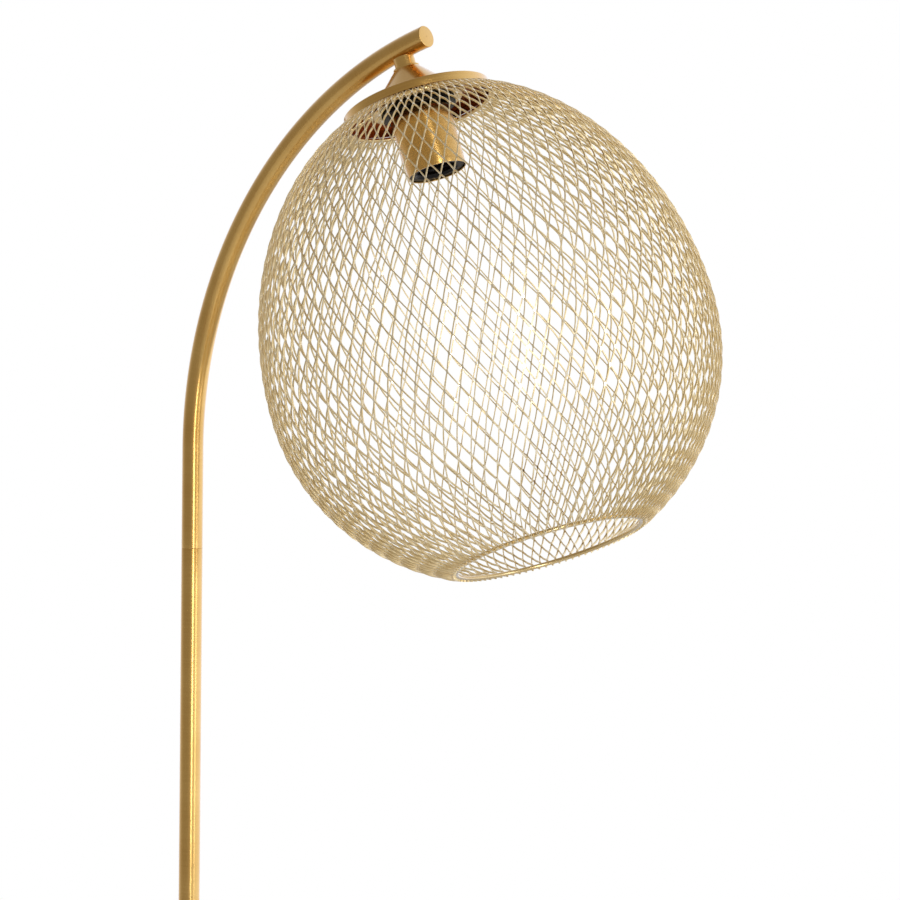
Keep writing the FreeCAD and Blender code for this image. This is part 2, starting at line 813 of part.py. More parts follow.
def coil():
    """Compression spring behind the centre contact: one flat-sided tube along a helix."""
    wire_r = number("spring_wire / 2")
    radius = number("spring_od / 2") - wire_r
    rise = number("plunger_gap - 2 * gap - spring_wire")
    turns = number("spring_turns")
    sides = int(number("spring_sides"))
    count = int(turns * number("spring_steps"))
    rings = []
    for step in range(count + 1):
        turn = 2 * math.pi * turns * step / count
        out = FreeCAD.Vector(math.cos(turn), math.sin(turn), 0)
        centre = out * radius + FreeCAD.Vector(0, 0, rise * step / count)
        corners = [2 * math.pi * k / sides for k in range(sides)]
        up = FreeCAD.Vector(0, 0, 1)
        rings.append([centre + out * (wire_r * math.cos(a)) + up * (wire_r * math.sin(a)) for a in corners])
    faces = [Part.Face(Part.makePolygon(ring + ring[:1])) for ring in (rings[0], rings[-1])]
    for low, high in zip(rings, rings[1:]):
        for k in range(sides):
            a, b, c, d = low[k - 1], low[k], high[k], high[k - 1]
            faces += [Part.Face(Part.makePolygon(t)) for t in ([a, b, c, a], [a, c, d, a])]
    shell = Part.makeShell(faces)
    shell.sewShape()
    spring = Part.makeSolid(shell)
    if spring.Volume < 0:
        spring.reverse()
    print(f"spring: least gap between turns {rise / turns - 2 * wire_r:.2f} mm")
    return spring


# ---------------------------------------------------------------- shade


def make_shade_rings():
    """Top ring with its spokes and hub, and the ring round the bottom opening."""
    ring = place(torus("top_hoop", TOP_RING_R, "top_wire / 2"), z=TOP_RING)
    hub = turned(
        "hub",
        [
            ("(holder_thread_od / 2 + gap + fit)", HUB_TOP),
            ("hub_od / 2", HUB_TOP),
            ("hub_od / 2", f"({HUB_TOP} + hub_thick)"),
            ("(holder_thread_od / 2 + gap + fit)", f"({HUB_TOP} + hub_thick)"),
        ],
    )
    spoke_foot_r = "(hub_od / 2 - spoke_lap)"
    spoke_foot = f"({HUB_TOP} - spoke_wire / 2 + fit)"
    run = f"({TOP_RING_R} - {spoke_foot_r})"
    rise = f"({TOP_RING} - {spoke_foot})"
    spokes = []
    for index in range(int(number("spoke_count"))):
        turn = f"(spoke_turn + {index} * 360 / spoke_count)"
        spoke = cylinder(f"spoke_{index + 1}", "spoke_wire / 2", f"sqrt({run} ^ 2 + {rise} ^ 2)")
        point = (
            f"create(<<vector>>; {bound(spoke_foot_r)} * cos({bound(turn)}); "
            f"{bound(spoke_foot_r)} * sin({bound(turn)}); {bound(spoke_foot)})"
        )
        lean = f"create(<<rotation>>; create(<<vector>>; 0; 1; 0); atan2({bound(run)}; {bound(rise)}))"
        swing = f"create(<<rotation>>; create(<<vector>>; 0; 0; 1); {bound(turn)})"
        spoke.setExpression("Placement", f"create(<<placement>>; {point}; {swing} * {lean})")
        spokes.append(spoke)
    spider = doc.addObject("Part::MultiFuse", "spider")
    spider.Shapes = [ring, hub] + spokes
    label(place_on_shade_axis(spider), "shade_spider")

    wire = torus("bottom_hoop", BOTTOM_RING_R, "bottom_wire / 2")
    place_on_shade_axis(wire, BOTTOM_RING)
    label(wire, "shade_bottom_ring")


class GlobeMesh:
    """Expanded-metal globe: a lattice of diamond openings on an egg-shaped surface of revolution.

    Nodes stand in rings; each ring is turned half a column against the last.  Every opening is
    cut square through the sheet along the normal at its own centre, so its walls are flat, and the
    strands between openings keep one width.  A plain hoop closes the lattice at both ends.
    """

    def __init__(self):
        self.columns = int(number("mesh_columns"))
        self.rings = int(number("mesh_rows")) + 1
        self.radius = number("globe_od / 2")
        self.upper = number("globe_upper")
        self.lower = number("globe_lower")
        self.widest = number(WIDEST)
        self.width = number("strand_width")
        self.depth = number("strand_depth")
        self.polar = self.ring_angles()
        self.faces = []
        self.vertices = {}
        self.edges = {}

    def ring_angles(self):
        """Polar angles of the node rings, spaced evenly along the meridian."""
        first = math.asin(number("shade_top_od / globe_od"))
        last = math.pi - math.asin(number("shade_bottom_od / globe_od"))
        steps = 2000
        angles = [first + (last - first) * k / steps for k in range(steps + 1)]
        lengths = [0.0]
        for low, high in zip(angles, angles[1:]):
            a = self.surface(low, 0.0)
            b = self.surface(high, 0.0)
            lengths.append(lengths[-1] + (b - a).Length)
        wanted = [lengths[-1] * k / (self.rings - 1) for k in range(self.rings)]
        found = []
        for target in wanted:
            k = next(i for i, length in enumerate(lengths) if length >= target - 1e-9)
            found.append(angles[k])
        return found

    def surface(self, polar, around):
        """Point of the outer surface; polar runs from the top of the globe to its bottom."""
        axial = self.upper if polar < math.pi / 2 else self.lower
        r = self.radius * math.sin(polar)
        z = self.widest - axial * math.cos(polar)
        return FreeCAD.Vector(r * math.cos(around), r * math.sin(around), z)

    def normal(self, point):
        """Outward normal of the surface at one of its points."""
        rise = point.z - self.widest
        axial = self.upper if rise < 0 else self.lower
        return FreeCAD.Vector(
            point.x / self.radius**2, point.y / self.radius**2, rise / axial**2
        ).normalize()

    def node(self, ring, column):
        """Centre of one crossing on the outer surface; column counts in half steps."""
        return self.surface(self.polar[ring], math.pi * column / self.columns)

    def opening(self, nodes):
        """Inset corners of one opening, outside and inside, keyed by its nodes."""
        points = [self.node(*n) for n in nodes]
        centre = sum(points, FreeCAD.Vector()) * (1 / len(points))
        inward = self.normal(centre) * -self.depth
        corners = {}
        for i, n in enumerate(nodes):
            before = (points[i - 1] - points[i]).normalize()
            after = (points[(i + 1) % len(nodes)] - points[i]).normalize()
            inset = self.width / 2 / math.sin(before.getAngle(after))
            outside = points[i] + (before + after) * inset
            corners[self.key(n)] = (outside, outside + inward)
        return corners

    def key(self, node):
        """Node with its column taken round the globe."""
        return (node[0], node[1] % (2 * self.columns))

    def border(self, ring, away):
        """Edge corners of a hoop: half a strand beyond each of its nodes."""
        corners = {}
        for column in self.ring_columns(ring):
            here = self.node(ring, column)
            side = self.surface(self.polar[ring] + away * 1e-3, math.pi * column / self.columns) - here
            outside = here + side.normalize() * (self.width / 2)
            corners[self.key((ring, column))] = (outside, outside - self.normal(here) * self.depth)
        return corners

    def ring_columns(self, ring):
        """Half-step columns that hold a node on one ring."""
        return range(ring % 2, 2 * self.columns, 2)

    def face(self, points):
        """Flat face through points listed counter-clockwise as seen from the metal's outside."""
        corners = [self.vertex(p) for p in points]
        edges = [self.edge(corners[i - 1], corners[i]) for i in range(len(corners))]
        face = Part.Face(Part.Wire(edges))
        wanted = (points[1] - points[0]).cross(points[2] - points[1])
        if face.normalAt(0, 0).dot(wanted) < 0:
            face.reverse()
        self.faces.append(face)

    def vertex(self, point):
        """Shared vertex at a point."""
        key = tuple(round(c, 5) for c in point)
        if key not in self.vertices:
            self.vertices[key] = (len(self.vertices), Part.Vertex(point))
        return self.vertices[key]

    def edge(self, first, second):
        """Shared edge between two vertices."""
        key = (min(first[0], second[0]), max(first[0], second[0]))
        if key not in self.edges:
            self.edges[key] = Part.Edge(first[1], second[1])
        return self.edges[key]

    def skin(self, quad):
        """Outer and inner faces over one strand or crossing, each split in two flat triangles."""
        outside = [pair[0] for pair in reversed(quad)]
        inside = [pair[1] for pair in quad]
        for a, b, c, d in (outside, inside):
            self.face([a, b, c])
            self.face([a, c, d])

    def wall(self, first, second):
        """Flat wall of an opening between two of its corners."""
        self.face([first[1], second[1], second[0], first[0]])

    def build(self):
        """Solid lattice in the shade's own frame."""
        regions = {}
        last = self.rings - 1
        for ring in range(self.rings):
            for column in self.ring_columns(ring + 1):
                nodes = [(ring, column - 1), (ring + 1, column), (ring, column + 1), (ring - 1, column)]
                nodes = [n for n in nodes if 0 <= n[0] <= last]
                regions[(ring, column % (2 * self.columns))] = (nodes, self.opening(nodes))
        ends = {-1: self.border(0, -1), last + 1: self.border(last, 1)}
        for nodes, corners in regions.values():
            ordered = [corners[self.key(n)] for n in nodes]
            for i in range(len(ordered)):
                self.wall(ordered[i], ordered[(i + 1) % len(ordered)])

        def corner(ring, column, node):
            """Corner that the region centred at (ring, column) has at a node."""
            if ring in ends:
                return ends[ring][self.key(node)]
            return regions[(ring, column % (2 * self.columns))][1][self.key(node)]

        for ring in range(self.rings):
            for column in self.ring_columns(ring):
                here = (ring, column)
                above = corner(ring - 1, column, here)
                below = corner(ring + 1, column, here)
                left = corner(ring, column - 1, here)
                right = corner(ring, column + 1, here)
                self.skin([above, left, below, right])
                if ring < last:
                    for step in (-1, 1):
                        there = (ring + 1, column + step)
                        near = corner(ring, column + step, here)
                        near_end = corner(ring, column + step, there)
                        far = corner(ring + 1, column, here)
                        far_end = corner(ring + 1, column, there)
                        quad = [near, far, far_end, near_end] if step > 0 else [far, near, near_end, far_end]
                        self.skin(quad)
                if ring in (0, last):
                    there = (ring, column + 2)
                    rim = ends[-1 if ring == 0 else last + 1]
                    rim_here, rim_there = rim[self.key(here)], rim[self.key(there)]
                    in_here = corner(ring, column + 1, here)
                    in_there = corner(ring, column + 1, there)
                    if ring == 0:
                        self.skin([rim_here, in_here, in_there, rim_there])
                        self.wall(rim_here, rim_there)
                    else:
                        self.skin([in_here, rim_here, rim_there, in_there])
                        self.wall(rim_there, rim_here)
        solid = Part.Solid(Part.Shell(self.faces))
        if solid.Volume < 0:
            solid.reverse()
        return solid


def make_shade_mesh():
    """Wire globe, one closed lattice solid."""
    globe = doc.addObject("Part::Feature", "globe")
    globe.Shape = GlobeMesh().build()
    place_on_shade_axis(globe)
    label(globe, "shade_mesh")


# ---------------------------------------------------------------- build and write


def check_and_write():
    """Stop on any failed object or empty sub-part, then write one file per sub-part."""
    doc.recompute()
    for obj in doc.Objects:
        if {"Invalid", "Error"} & set(obj.State):
            raise RuntimeError(f"{obj.Name}: {obj.State}")
    os.makedirs("parts", exist_ok=True)
    for name, obj in parts.items():
        if obj.Shape.isNull() or not obj.Shape.isValid() or obj.Shape.Volume <= 0:
            raise RuntimeError(f"{name} has no sound shape")
        obj.Shape.exportStep(f"parts/{name}.step")
        box = obj.Shape.BoundBox
        print(
            f"{name}: {len(obj.Shape.Solids)} solids, {obj.Shape.Volume:.1f} mm3, "
            f"z {box.ZMin:.2f} to {box.ZMax:.2f}"
        )


make_base()
make_pole()
make_arm()
make_cap()
make_holder()
make_shade_rings()
make_shade_mesh()
check_and_write()
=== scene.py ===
"""Looks of an arched floor lamp with an expanded-metal globe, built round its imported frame.

Sizes are in millimetres unless a name ends in _m.  Each sub-assembly is a class whose fields are
its sizes, and whose methods build its meshes and dress them.
"""

from __future__ import annotations

import json
import logging
import math
import random
import sys
from abc import ABC, abstractmethod
from collections.abc import Callable, Sequence
from dataclasses import dataclass, field
from enum import Enum
from typing import NamedTuple

import bpy
from mathutils import Matrix, Vector

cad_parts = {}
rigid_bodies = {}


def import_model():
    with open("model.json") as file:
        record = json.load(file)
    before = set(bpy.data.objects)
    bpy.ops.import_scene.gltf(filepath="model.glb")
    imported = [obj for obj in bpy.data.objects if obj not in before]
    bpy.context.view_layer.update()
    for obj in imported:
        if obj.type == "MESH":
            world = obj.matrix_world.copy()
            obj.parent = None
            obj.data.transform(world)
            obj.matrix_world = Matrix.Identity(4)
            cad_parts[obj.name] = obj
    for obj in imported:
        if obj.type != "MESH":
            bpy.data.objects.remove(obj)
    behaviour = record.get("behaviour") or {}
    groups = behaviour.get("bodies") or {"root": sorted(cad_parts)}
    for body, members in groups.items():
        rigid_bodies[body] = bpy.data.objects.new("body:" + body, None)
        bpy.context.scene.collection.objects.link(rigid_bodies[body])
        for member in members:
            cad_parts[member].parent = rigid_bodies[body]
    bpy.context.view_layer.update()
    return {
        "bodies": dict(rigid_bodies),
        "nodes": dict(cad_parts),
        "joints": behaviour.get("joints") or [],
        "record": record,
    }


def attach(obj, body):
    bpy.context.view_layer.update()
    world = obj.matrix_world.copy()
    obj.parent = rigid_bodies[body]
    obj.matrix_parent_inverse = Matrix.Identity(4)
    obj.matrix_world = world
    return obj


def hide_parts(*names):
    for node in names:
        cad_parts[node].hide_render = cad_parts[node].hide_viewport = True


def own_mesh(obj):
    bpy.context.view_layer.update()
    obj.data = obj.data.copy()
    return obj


LOG = logging.getLogger("lamp")
MM = 0.001
LAMP = "lamp"  # the body that stands still
ROD_BORE = 5.05  # radius of a hole that clears the hollow rod
TUBE_OUTSIDE = 7.5
TUBE_BORE = 6.3
TUBE_EDGE = 0.2
Outline = list[tuple[float, float]]
Object = bpy.types.Object
Tree = bpy.types.NodeTree
Socket = bpy.types.NodeSocket
Colour = Sequence[float] | Socket
Ripple = Callable[[float, float, float], float]  # plain radius, level and turn to real radius
Station = Callable[[float], Matrix]  # distance along a path to the frame of the section there


# ---- node and colour helpers

# Sockets of the mix node, by number because their names repeat.
SHARE, PLAIN_A, PLAIN_B, COLOUR_A, COLOUR_B = 0, 2, 3, 6, 7
COLOUR_OUT = 2
NOISE_SPAN = (0.3, 0.7)  # range that nearly all values of a noise keep to


def linear(code: str) -> tuple[float, float, float, float]:
    """Turn an sRGB hex colour to linear light."""
    parts = [int(code[i : i + 2], 16) / 255 for i in (1, 3, 5)]
    red, green, blue = (c / 12.92 if c <= 0.04045 else ((c + 0.055) / 1.055) ** 2.4 for c in parts)
    return (red, green, blue, 1.0)


def add_node(tree: Tree, kind: str, values: dict | None = None) -> bpy.types.Node:
    """Add a node with its settings and links.

    Args:
        tree: Node tree that receives the node.
        kind: Blender's name for the node's type, less its prefix.
        values: Values by property name, input name or input number.  A socket is linked.

    Returns:
        The new node.
    """
    node = tree.nodes.new(f"ShaderNode{kind}")
    for name, value in (values or {}).items():
        if isinstance(value, Socket):
            tree.links.new(value, node.inputs[name])
        elif isinstance(name, str) and hasattr(node, name):
            setattr(node, name, value)
        else:
            node.inputs[name].default_value = value
    return node


def noise(tree: Tree, place: Socket, scale: float, detail: float, rough: float = 0.5) -> Socket:
    """Add a noise over a place and give its value."""
    values = {"Scale": scale, "Detail": detail, "Roughness": rough, "Vector": place}
    return add_node(tree, "TexNoise", values).outputs[0]


def mapped(
    tree: Tree,
    value: Socket,
    span: Sequence[float],
    onto: Sequence[float] = (0.0, 1.0),
    interpolation: str = "LINEAR",
) -> Socket:
    """Map one span of a value onto another one."""
    ends = dict(enumerate((value, *span, *onto)))
    values = {"interpolation_type": interpolation, **ends}
    return add_node(tree, "MapRange", values).outputs[0]


def scaled(tree: Tree, value: Socket, factor: float, plus: Socket | float) -> Socket:
    """Multiply a value by a factor and add another one."""
    values = {"operation": "MULTIPLY_ADD", 0: value, 1: factor, 2: plus}
    return add_node(tree, "Math", values).outputs[0]


def mixed(tree: Tree, share: Socket, first: Colour, second: Colour) -> Socket:
    """Mix two colours by a share."""
    values = {"data_type": "RGBA", SHARE: share, COLOUR_A: first, COLOUR_B: second}
    return add_node(tree, "Mix", values).outputs[COLOUR_OUT]


class Finish(NamedTuple):
    """A material and the material slot of the record that it stands for."""

    material: bpy.types.Material
    slot: str


def new_material(name: str) -> tuple[bpy.types.Material, Tree]:
    """Start a material with an empty node tree."""
    material = bpy.data.materials.new(name)
    material.use_nodes = True
    material.node_tree.nodes.clear()
    return material, material.node_tree


def end_surface(
    tree: Tree, colour: Socket, polish: Socket, height: Socket, relief: Sequence[float], more: dict
) -> None:
    """End a material's tree with its shader; relief is its depth in millimetres and strength."""
    bump = {"Distance": relief[0] * MM, "Strength": relief[1], "Height": height}
    values = {
        "Base Color": colour,
        "Roughness": polish,
        "Normal": add_node(tree, "Bump", bump).outputs[0],
        **more,
    }
    shader = add_node(tree, "BsdfPrincipled", values)
    add_node(tree, "OutputMaterial", {"Surface": shader.outputs[0]})


# ---- finishes


class Grain(Enum):
    """Direction in which the abrasive ran over a brushed surface."""

    LENGTHWISE = "lengthwise"
    ROUND = "round"


@dataclass(frozen=True)
class BrushedBrass:
    """Brass-plated steel, brushed with fine abrasive and lacquered.

    The plating gives a warm, clear gold; the brushing draws the highlight out into a soft band with
    hair-fine streaks in it, and the lacquer keeps it even.
    """

    name: str
    grain: Grain
    pale: str = "#E9BE6A"
    deep: str = "#D4A24A"
    smooth: float = 0.17
    rough: float = 0.27
    streak_mm: float = 0.4  # real grit lines are 0.1 mm apart, drawn coarser so that they show
    run_mm: float = 30.0
    cloud_mm: float = 60.0
    streak_share: float = 0.6
    tone_span: tuple[float, float] = (0.55, 1.0)
    relief: tuple[float, float] = (0.02, 0.25)
    anisotropy: float = 0.5
    lacquer: float = 1.0

    def make(self, slot: str) -> Finish:
        """Build the material for a slot."""
        material, tree = new_material(self.name)
        across, along = 1 / self.streak_mm, 1 / self.run_mm
        lengthwise = self.grain is Grain.LENGTHWISE
        scale = (across, across, along) if lengthwise else (along, along, across)
        place = add_node(tree, "Attribute", {"attribute_name": "grain"}).outputs["Vector"]
        stretched = add_node(tree, "Mapping", {"Scale": scale, "Vector": place})
        streaks = noise(tree, stretched.outputs[0], 1.0, 4.0, 0.65)
        clouds = noise(tree, place, 1 / self.cloud_mm, 2.0)
        share = mapped(tree, scaled(tree, streaks, self.streak_share, clouds), self.tone_span)
        more = {
            "Metallic": 1.0,
            "Anisotropic": self.anisotropy,
            "Coat Weight": self.lacquer,
            "Coat Roughness": self.smooth,
        }
        if not lengthwise:
            direction = {"direction_type": "UV_MAP", "uv_map": "wrap"}
            more["Tangent"] = add_node(tree, "Tangent", direction).outputs[0]
        end_surface(
            tree,
            mixed(tree, share, linear(self.deep), linear(self.pale)),
            mapped(tree, streaks, NOISE_SPAN, (self.smooth, self.rough)),
            streaks,
            self.relief,
            more,
        )
        return Finish(material, slot)


@dataclass(frozen=True)
class ExpandedBrass:
    """Expanded steel sheet under pale brass plating and clear lacquer.

    The stretched strands are bright champagne gold and slightly dulled by the drawing.  The bonds
    keep the flat, glossy skin of the sheet, so they look brown against a dark room and flash white
    where they turn to the light at the sides of the globe.  Their near-white colour, which also
    runs into the strand ends beside them, is a painted highlight that adds to that flash.
    """

    name: str = "expanded_brass"
    strand: str = "#F6E5BA"
    shade: str = "#E7CF98"
    # near-white: a painted highlight on the bonds and the strand ends beside them
    bond: str = "#FFF3D6"
    dull: float = 0.42
    dull_spread: float = 0.2
    gloss: float = 0.16
    metallic: float = 0.9
    mottle_mm: float = 6.0
    drawn_mm: float = 0.8
    tone_span: tuple[float, float] = (0.35, 0.65)
    relief: tuple[float, float] = (0.04, 0.4)

    def make(self, slot: str) -> Finish:
        """Build the material for a slot."""
        material, tree = new_material(self.name)
        place = add_node(tree, "TexCoord").outputs["Object"]
        mottle = noise(tree, place, 1 / (self.mottle_mm * MM), 3.0)
        drawn = noise(tree, place, 1 / (self.drawn_mm * MM), 2.0)
        share = mapped(tree, mottle, self.tone_span)
        metal = mixed(tree, share, linear(self.shade), linear(self.strand))
        # The bond share carries the bonds' real gloss and their painted highlight colour.
        bond_and_painted_highlight = add_node(tree, "Attribute", {"attribute_name": "bond"}).outputs["Fac"]
        worn = scaled(tree, drawn, self.dull_spread, self.dull - self.dull_spread / 2)
        polish = {"data_type": "FLOAT", SHARE: bond_and_painted_highlight, PLAIN_A: worn, PLAIN_B: self.gloss}
        end_surface(
            tree,
            mixed(tree, bond_and_painted_highlight, metal, linear(self.bond)),
            add_node(tree, "Mix", polish).outputs[0],
            drawn,
            self.relief,
            {"Metallic": self.metallic},
        )
        return Finish(material, slot)


@dataclass(frozen=True)
class PlainSurface:
    """A surface of two close tones with fine relief, for moulded, cast and plated pieces."""

    name: str
    tone: str
    other_tone: str
    smooth: float
    rough: float
    grit_mm: float
    relief_mm: float
    metallic: float = 0.0
    specular: float = 0.5
    cloud_grits: float = 40.0  # size of a patch of one tone, in grits
    relief_strength: float = 0.5

    def make(self, slot: str) -> Finish:
        """Build the material for a slot."""
        material, tree = new_material(self.name)
        place = add_node(tree, "TexCoord").outputs["Object"]
        grit = noise(tree, place, 1 / (self.grit_mm * MM), 3.0)
        clouds = noise(tree, place, 1 / (self.cloud_grits * self.grit_mm * MM), 2.0)
        end_surface(
            tree,
            mixed(tree, clouds, linear(self.tone), linear(self.other_tone)),
            mapped(tree, grit, NOISE_SPAN, (self.smooth, self.rough)),
            grit,
            (self.relief_mm, self.relief_strength),
            {"Metallic": self.metallic, "Specular IOR Level": self.specular},
        )
        return Finish(material, slot)


class Finishes:
    """Every finish of the lamp, made once."""

    def __init__(self) -> None:
        """Make the materials."""
        self.tube = BrushedBrass("brushed_brass_tube", Grain.ROUND).make("brass_tube")
        self.spun = BrushedBrass("spun_brass", Grain.ROUND).make("brass_spun")
        self.mesh = ExpandedBrass().make("brass_mesh")
        # Drawn brass wire: smooth and bright, with no brush lines.
        self.wire = BrushedBrass(
            "drawn_brass_wire", Grain.LENGTHWISE, "#EFD9A4", "#D3B06C", 0.18, 0.3, anisotropy=0.0
        ).make("brass_mesh")
        # Inside of the spinning: not lacquered, and painted a darker brown as painted shade in the
        # cap's hollow.
        self.inside = BrushedBrass(
            "spun_brass_inside_painted_shade", Grain.ROUND, "#B5692A", "#743B12", 0.2, 0.32, lacquer=0.0
        ).make("brass_spun")
        # Bare brass strip, pressed: yellower than the plating and a little dull.
        self.bare = PlainSurface(
            "pressed_brass", "#C9A24E", "#B88D3C", 0.24, 0.4, 0.5, 0.01, metallic=1.0
        ).make("brass_bare")
        # Zinc plating on steel: cool grey with a faint blue bloom.
        self.zinc = PlainSurface(
            "zinc_plated_steel", "#A9ADB2", "#90959C", 0.3, 0.46, 0.4, 0.01, metallic=1.0
        ).make("zinc_steel")
        # Phenolic resin, moulded: near-black, with the dull skin of the mould.
        self.phenolic = PlainSurface(
            "moulded_phenolic", "#0C0907", "#060504", 0.36, 0.5, 0.35, 0.02, specular=0.2
        ).make("phenolic")
        # Grey iron under black paint: coarse sand texture, semi-matte.
        self.iron = PlainSurface(
            "painted_cast_iron", "#1C1C1D", "#27272A", 0.5, 0.7, 1.2, 0.15
        ).make("iron")
        # Sheet rubber: black, dusty and matte.
        self.rubber = PlainSurface(
            "sheet_rubber", "#161616", "#222120", 0.75, 0.92, 0.6, 0.06
        ).make("rubber_sheet")
        # Nylon, moulded: black with a soft sheen.
        self.nylon = PlainSurface(
            "moulded_nylon", "#121213", "#1B1B1C", 0.38, 0.5, 0.4, 0.02
        ).make("nylon")


# ---- shaping helpers


def at(radius: float, turn: float, level: float = 0.0) -> Vector:
    """Point at a radius, an angle in radians and a level."""
    return Vector((radius * math.cos(turn), radius * math.sin(turn), level))


def rounded(corners: Sequence[tuple[float, ...]], steps: int = 5, soften: float = 0.0) -> Outline:
    """Round the corners of a closed outline, in straight steps.

    A corner is (across, up) or (across, up, radius); the soften radius is for those that name none.
    """
    points = [Vector(c[:2]) for c in corners]
    made: Outline = []
    for i, corner in enumerate(corners):
        here = points[i]
        before = points[i - 1] - here
        after = points[(i + 1) % len(points)] - here
        half = before.angle(after) / 2
        radius = corner[2] if len(corner) > 2 else soften
        limit = 0.45 * min(before.length, after.length) * math.tan(half)
        radius = min(radius, limit) if len(corner) < 3 else radius
        if radius <= 0 or half > math.radians(89):
            made.append((here.x, here.y))
            continue
        before.normalize()
        after.normalize()
        centre = here + (before + after).normalized() * (radius / math.sin(half))
        start = here + before * (radius / math.tan(half)) - centre
        turn = start.angle_signed(here + after * (radius / math.tan(half)) - centre)
        for k in range(steps + 1):
            spoke = start.copy()
            spoke.rotate(Matrix.Rotation(-turn * k / steps, 2))
            made.append((centre.x + spoke.x, centre.y + spoke.y))
    return made


def sleeve(
    bore: float, outside: float, low: float, high: float, low_edge: float = 0, high_edge: float = 0
) -> list[tuple[float, ...]]:
    """Corners of a plain sleeve, whose outer edges may be rounded on their own."""
    low_corner = (outside, low, low_edge) if low_edge else (outside, low)
    high_corner = (outside, high, high_edge) if high_edge else (outside, high)
    return [(bore, low), low_corner, high_corner, (bore, high)]


def divided(outline: Outline, longest: float) -> Outline:
    """Divide an outline's sides so that none is longer than a length."""
    made: Outline = []
    for here, there in zip(outline, outline[1:] + outline[:1]):
        count = max(1, math.ceil(math.dist(here, there) / longest))
        made += [
            (here[0] + (there[0] - here[0]) * k / count, here[1] + (there[1] - here[1]) * k / count)
            for k in range(count)
        ]
    return made


def new_object(
    name: str,
    points: Sequence[Vector],
    faces: Sequence[Sequence[int]],
    grain: Sequence[Vector] | None = None,
    sharp_deg: float = 35.0,
) -> Object:
    """Make a mesh object from points in metres, smooth except over sharp edges.

    The grain is the place in millimetres of each vertex along and round the piece.
    """
    mesh = bpy.data.meshes.new(name)
    mesh.from_pydata([tuple(p) for p in points], [], [tuple(f) for f in faces])
    mesh.validate()
    if grain is not None:
        layer = mesh.attributes.new("grain", "FLOAT_VECTOR", "POINT")
        layer.data.foreach_set("vector", [c for g in grain for c in g])
    mesh.shade_smooth()
    mesh.set_sharp_from_angle(angle=math.radians(sharp_deg))
    obj = bpy.data.objects.new(name, mesh)
    bpy.context.scene.collection.objects.link(obj)
    return obj


def ring_faces(rows: int, steps: int, closed: bool) -> list[tuple[int, ...]]:
    """Faces between rings of points, and back to the first ring if they close on it."""
    faces = []
    for row in range(rows if closed else rows - 1):
        low, high = row * steps, (row + 1) % rows * steps
        for here in range(steps):
            there = (here + 1) % steps
            faces.append((low + here, low + there, high + there, high + here))
    return faces


@dataclass
class Turned:
    """A piece spun from a closed outline about its own +Z, which may then follow a bent path."""

    name: str
    outline: Outline
    steps: int
    ripple: Ripple | None = None
    station: Station | None = None

    def build(self) -> Object:
        """Make the mesh object."""
        points: list[Vector] = []
        grain: list[Vector] = []
        travelled = 0.0
        last = self.outline[0]
        for radius, level in self.outline:
            travelled += math.dist(last, (radius, level))
            last = (radius, level)
            for k in range(self.steps):
                turn = 2 * math.pi * k / self.steps
                r = self.ripple(radius, level, turn) if self.ripple else radius
                point = self.station(level) @ at(r, turn) if self.station else at(r, turn, level)
                points.append(point * MM)
                grain.append(at(r, turn, travelled))
        faces = ring_faces(len(self.outline), self.steps, closed=True)
        obj = new_object(self.name, points, faces, grain)
        self.wrap(obj.data)
        return obj

    def wrap(self, mesh: bpy.types.Mesh) -> None:
        """Map the surface round and along, so that the finish knows which way it was worked."""
        layer = mesh.uv_layers.new(name="wrap")
        for face in mesh.polygons:
            row, column = divmod(face.index, self.steps)
            for loop, (across, along) in zip(face.loop_indices, ((0, 0), (1, 0), (1, 1), (0, 1))):
                u, v = (column + across) / self.steps, (row + along) / len(self.outline)
                layer.data[loop].uv = (u, v)


def wire(
    name: str, centres: Sequence[Vector], radius: float, closed: bool, sides: int = 20
) -> Object:
    """Sweep a round wire of a radius along its centres, both in millimetres."""
    count = len(centres)
    points: list[Vector] = []
    grain: list[Vector] = []
    along = 0.0
    for i, centre in enumerate(centres):
        before = centres[i - 1] if closed or i else centres[i]
        after = centres[(i + 1) % count] if closed or i < count - 1 else centres[i]
        ahead = (after - before).normalized()
        side = ahead.cross(Vector((0, 0, 1)))
        side = side.normalized() if side.length > 0.1 else Vector((1, 0, 0))
        up = side.cross(ahead)
        along += (centre - before).length
        for k in range(sides):
            turn = 2 * math.pi * k / sides
            points.append((centre + (side * math.cos(turn) + up * math.sin(turn)) * radius) * MM)
            grain.append(at(radius, turn, along))
    # Turned inside out, because a wire's section runs the other way round.
    faces = [(a, d, c, b) for a, b, c, d in ring_faces(count, sides, closed)]
    if not closed:
        faces.append(tuple(range(sides)))
        faces.append(tuple(range(count * sides - 1, (count - 1) * sides - 1, -1)))
    return new_object(name, points, faces, grain)


def joined(name: str, pieces: Sequence[Object]) -> Object:
    """Join pieces that are welded or moulded together into one object."""
    with bpy.context.temp_override(active_object=pieces[0], selected_editable_objects=list(pieces)):
        bpy.ops.object.join()
    pieces[0].name = name
    pieces[0].data.name = name
    return pieces[0]


def fit(obj: Object, finish: Finish, node: str, place: Matrix | None = None) -> None:
    """Dress a piece, put it in place and let it ride on the lamp's body.

    Args:
        obj: The piece.
        finish: Its finish.
        node: Frame node that it stands for.
        place: Its place in the row's frame, in metres.
    """
    obj.data.materials.clear()
    obj.data.materials.append(finish.material)
    if place is not None:
        obj.matrix_world = place
    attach(obj, LAMP)
    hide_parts(node)
    LOG.info("%s: %d faces", obj.name, len(obj.data.polygons))


def dress(frame: dict, finish: Finish, *nodes: str) -> None:
    """Give frame nodes that stay in view a better finish."""
    for name in nodes:
        for place in frame["nodes"][name].material_slots:
            place.material = finish.material
        LOG.info("%s: kept from the frame", name)


# ---- shared geometry


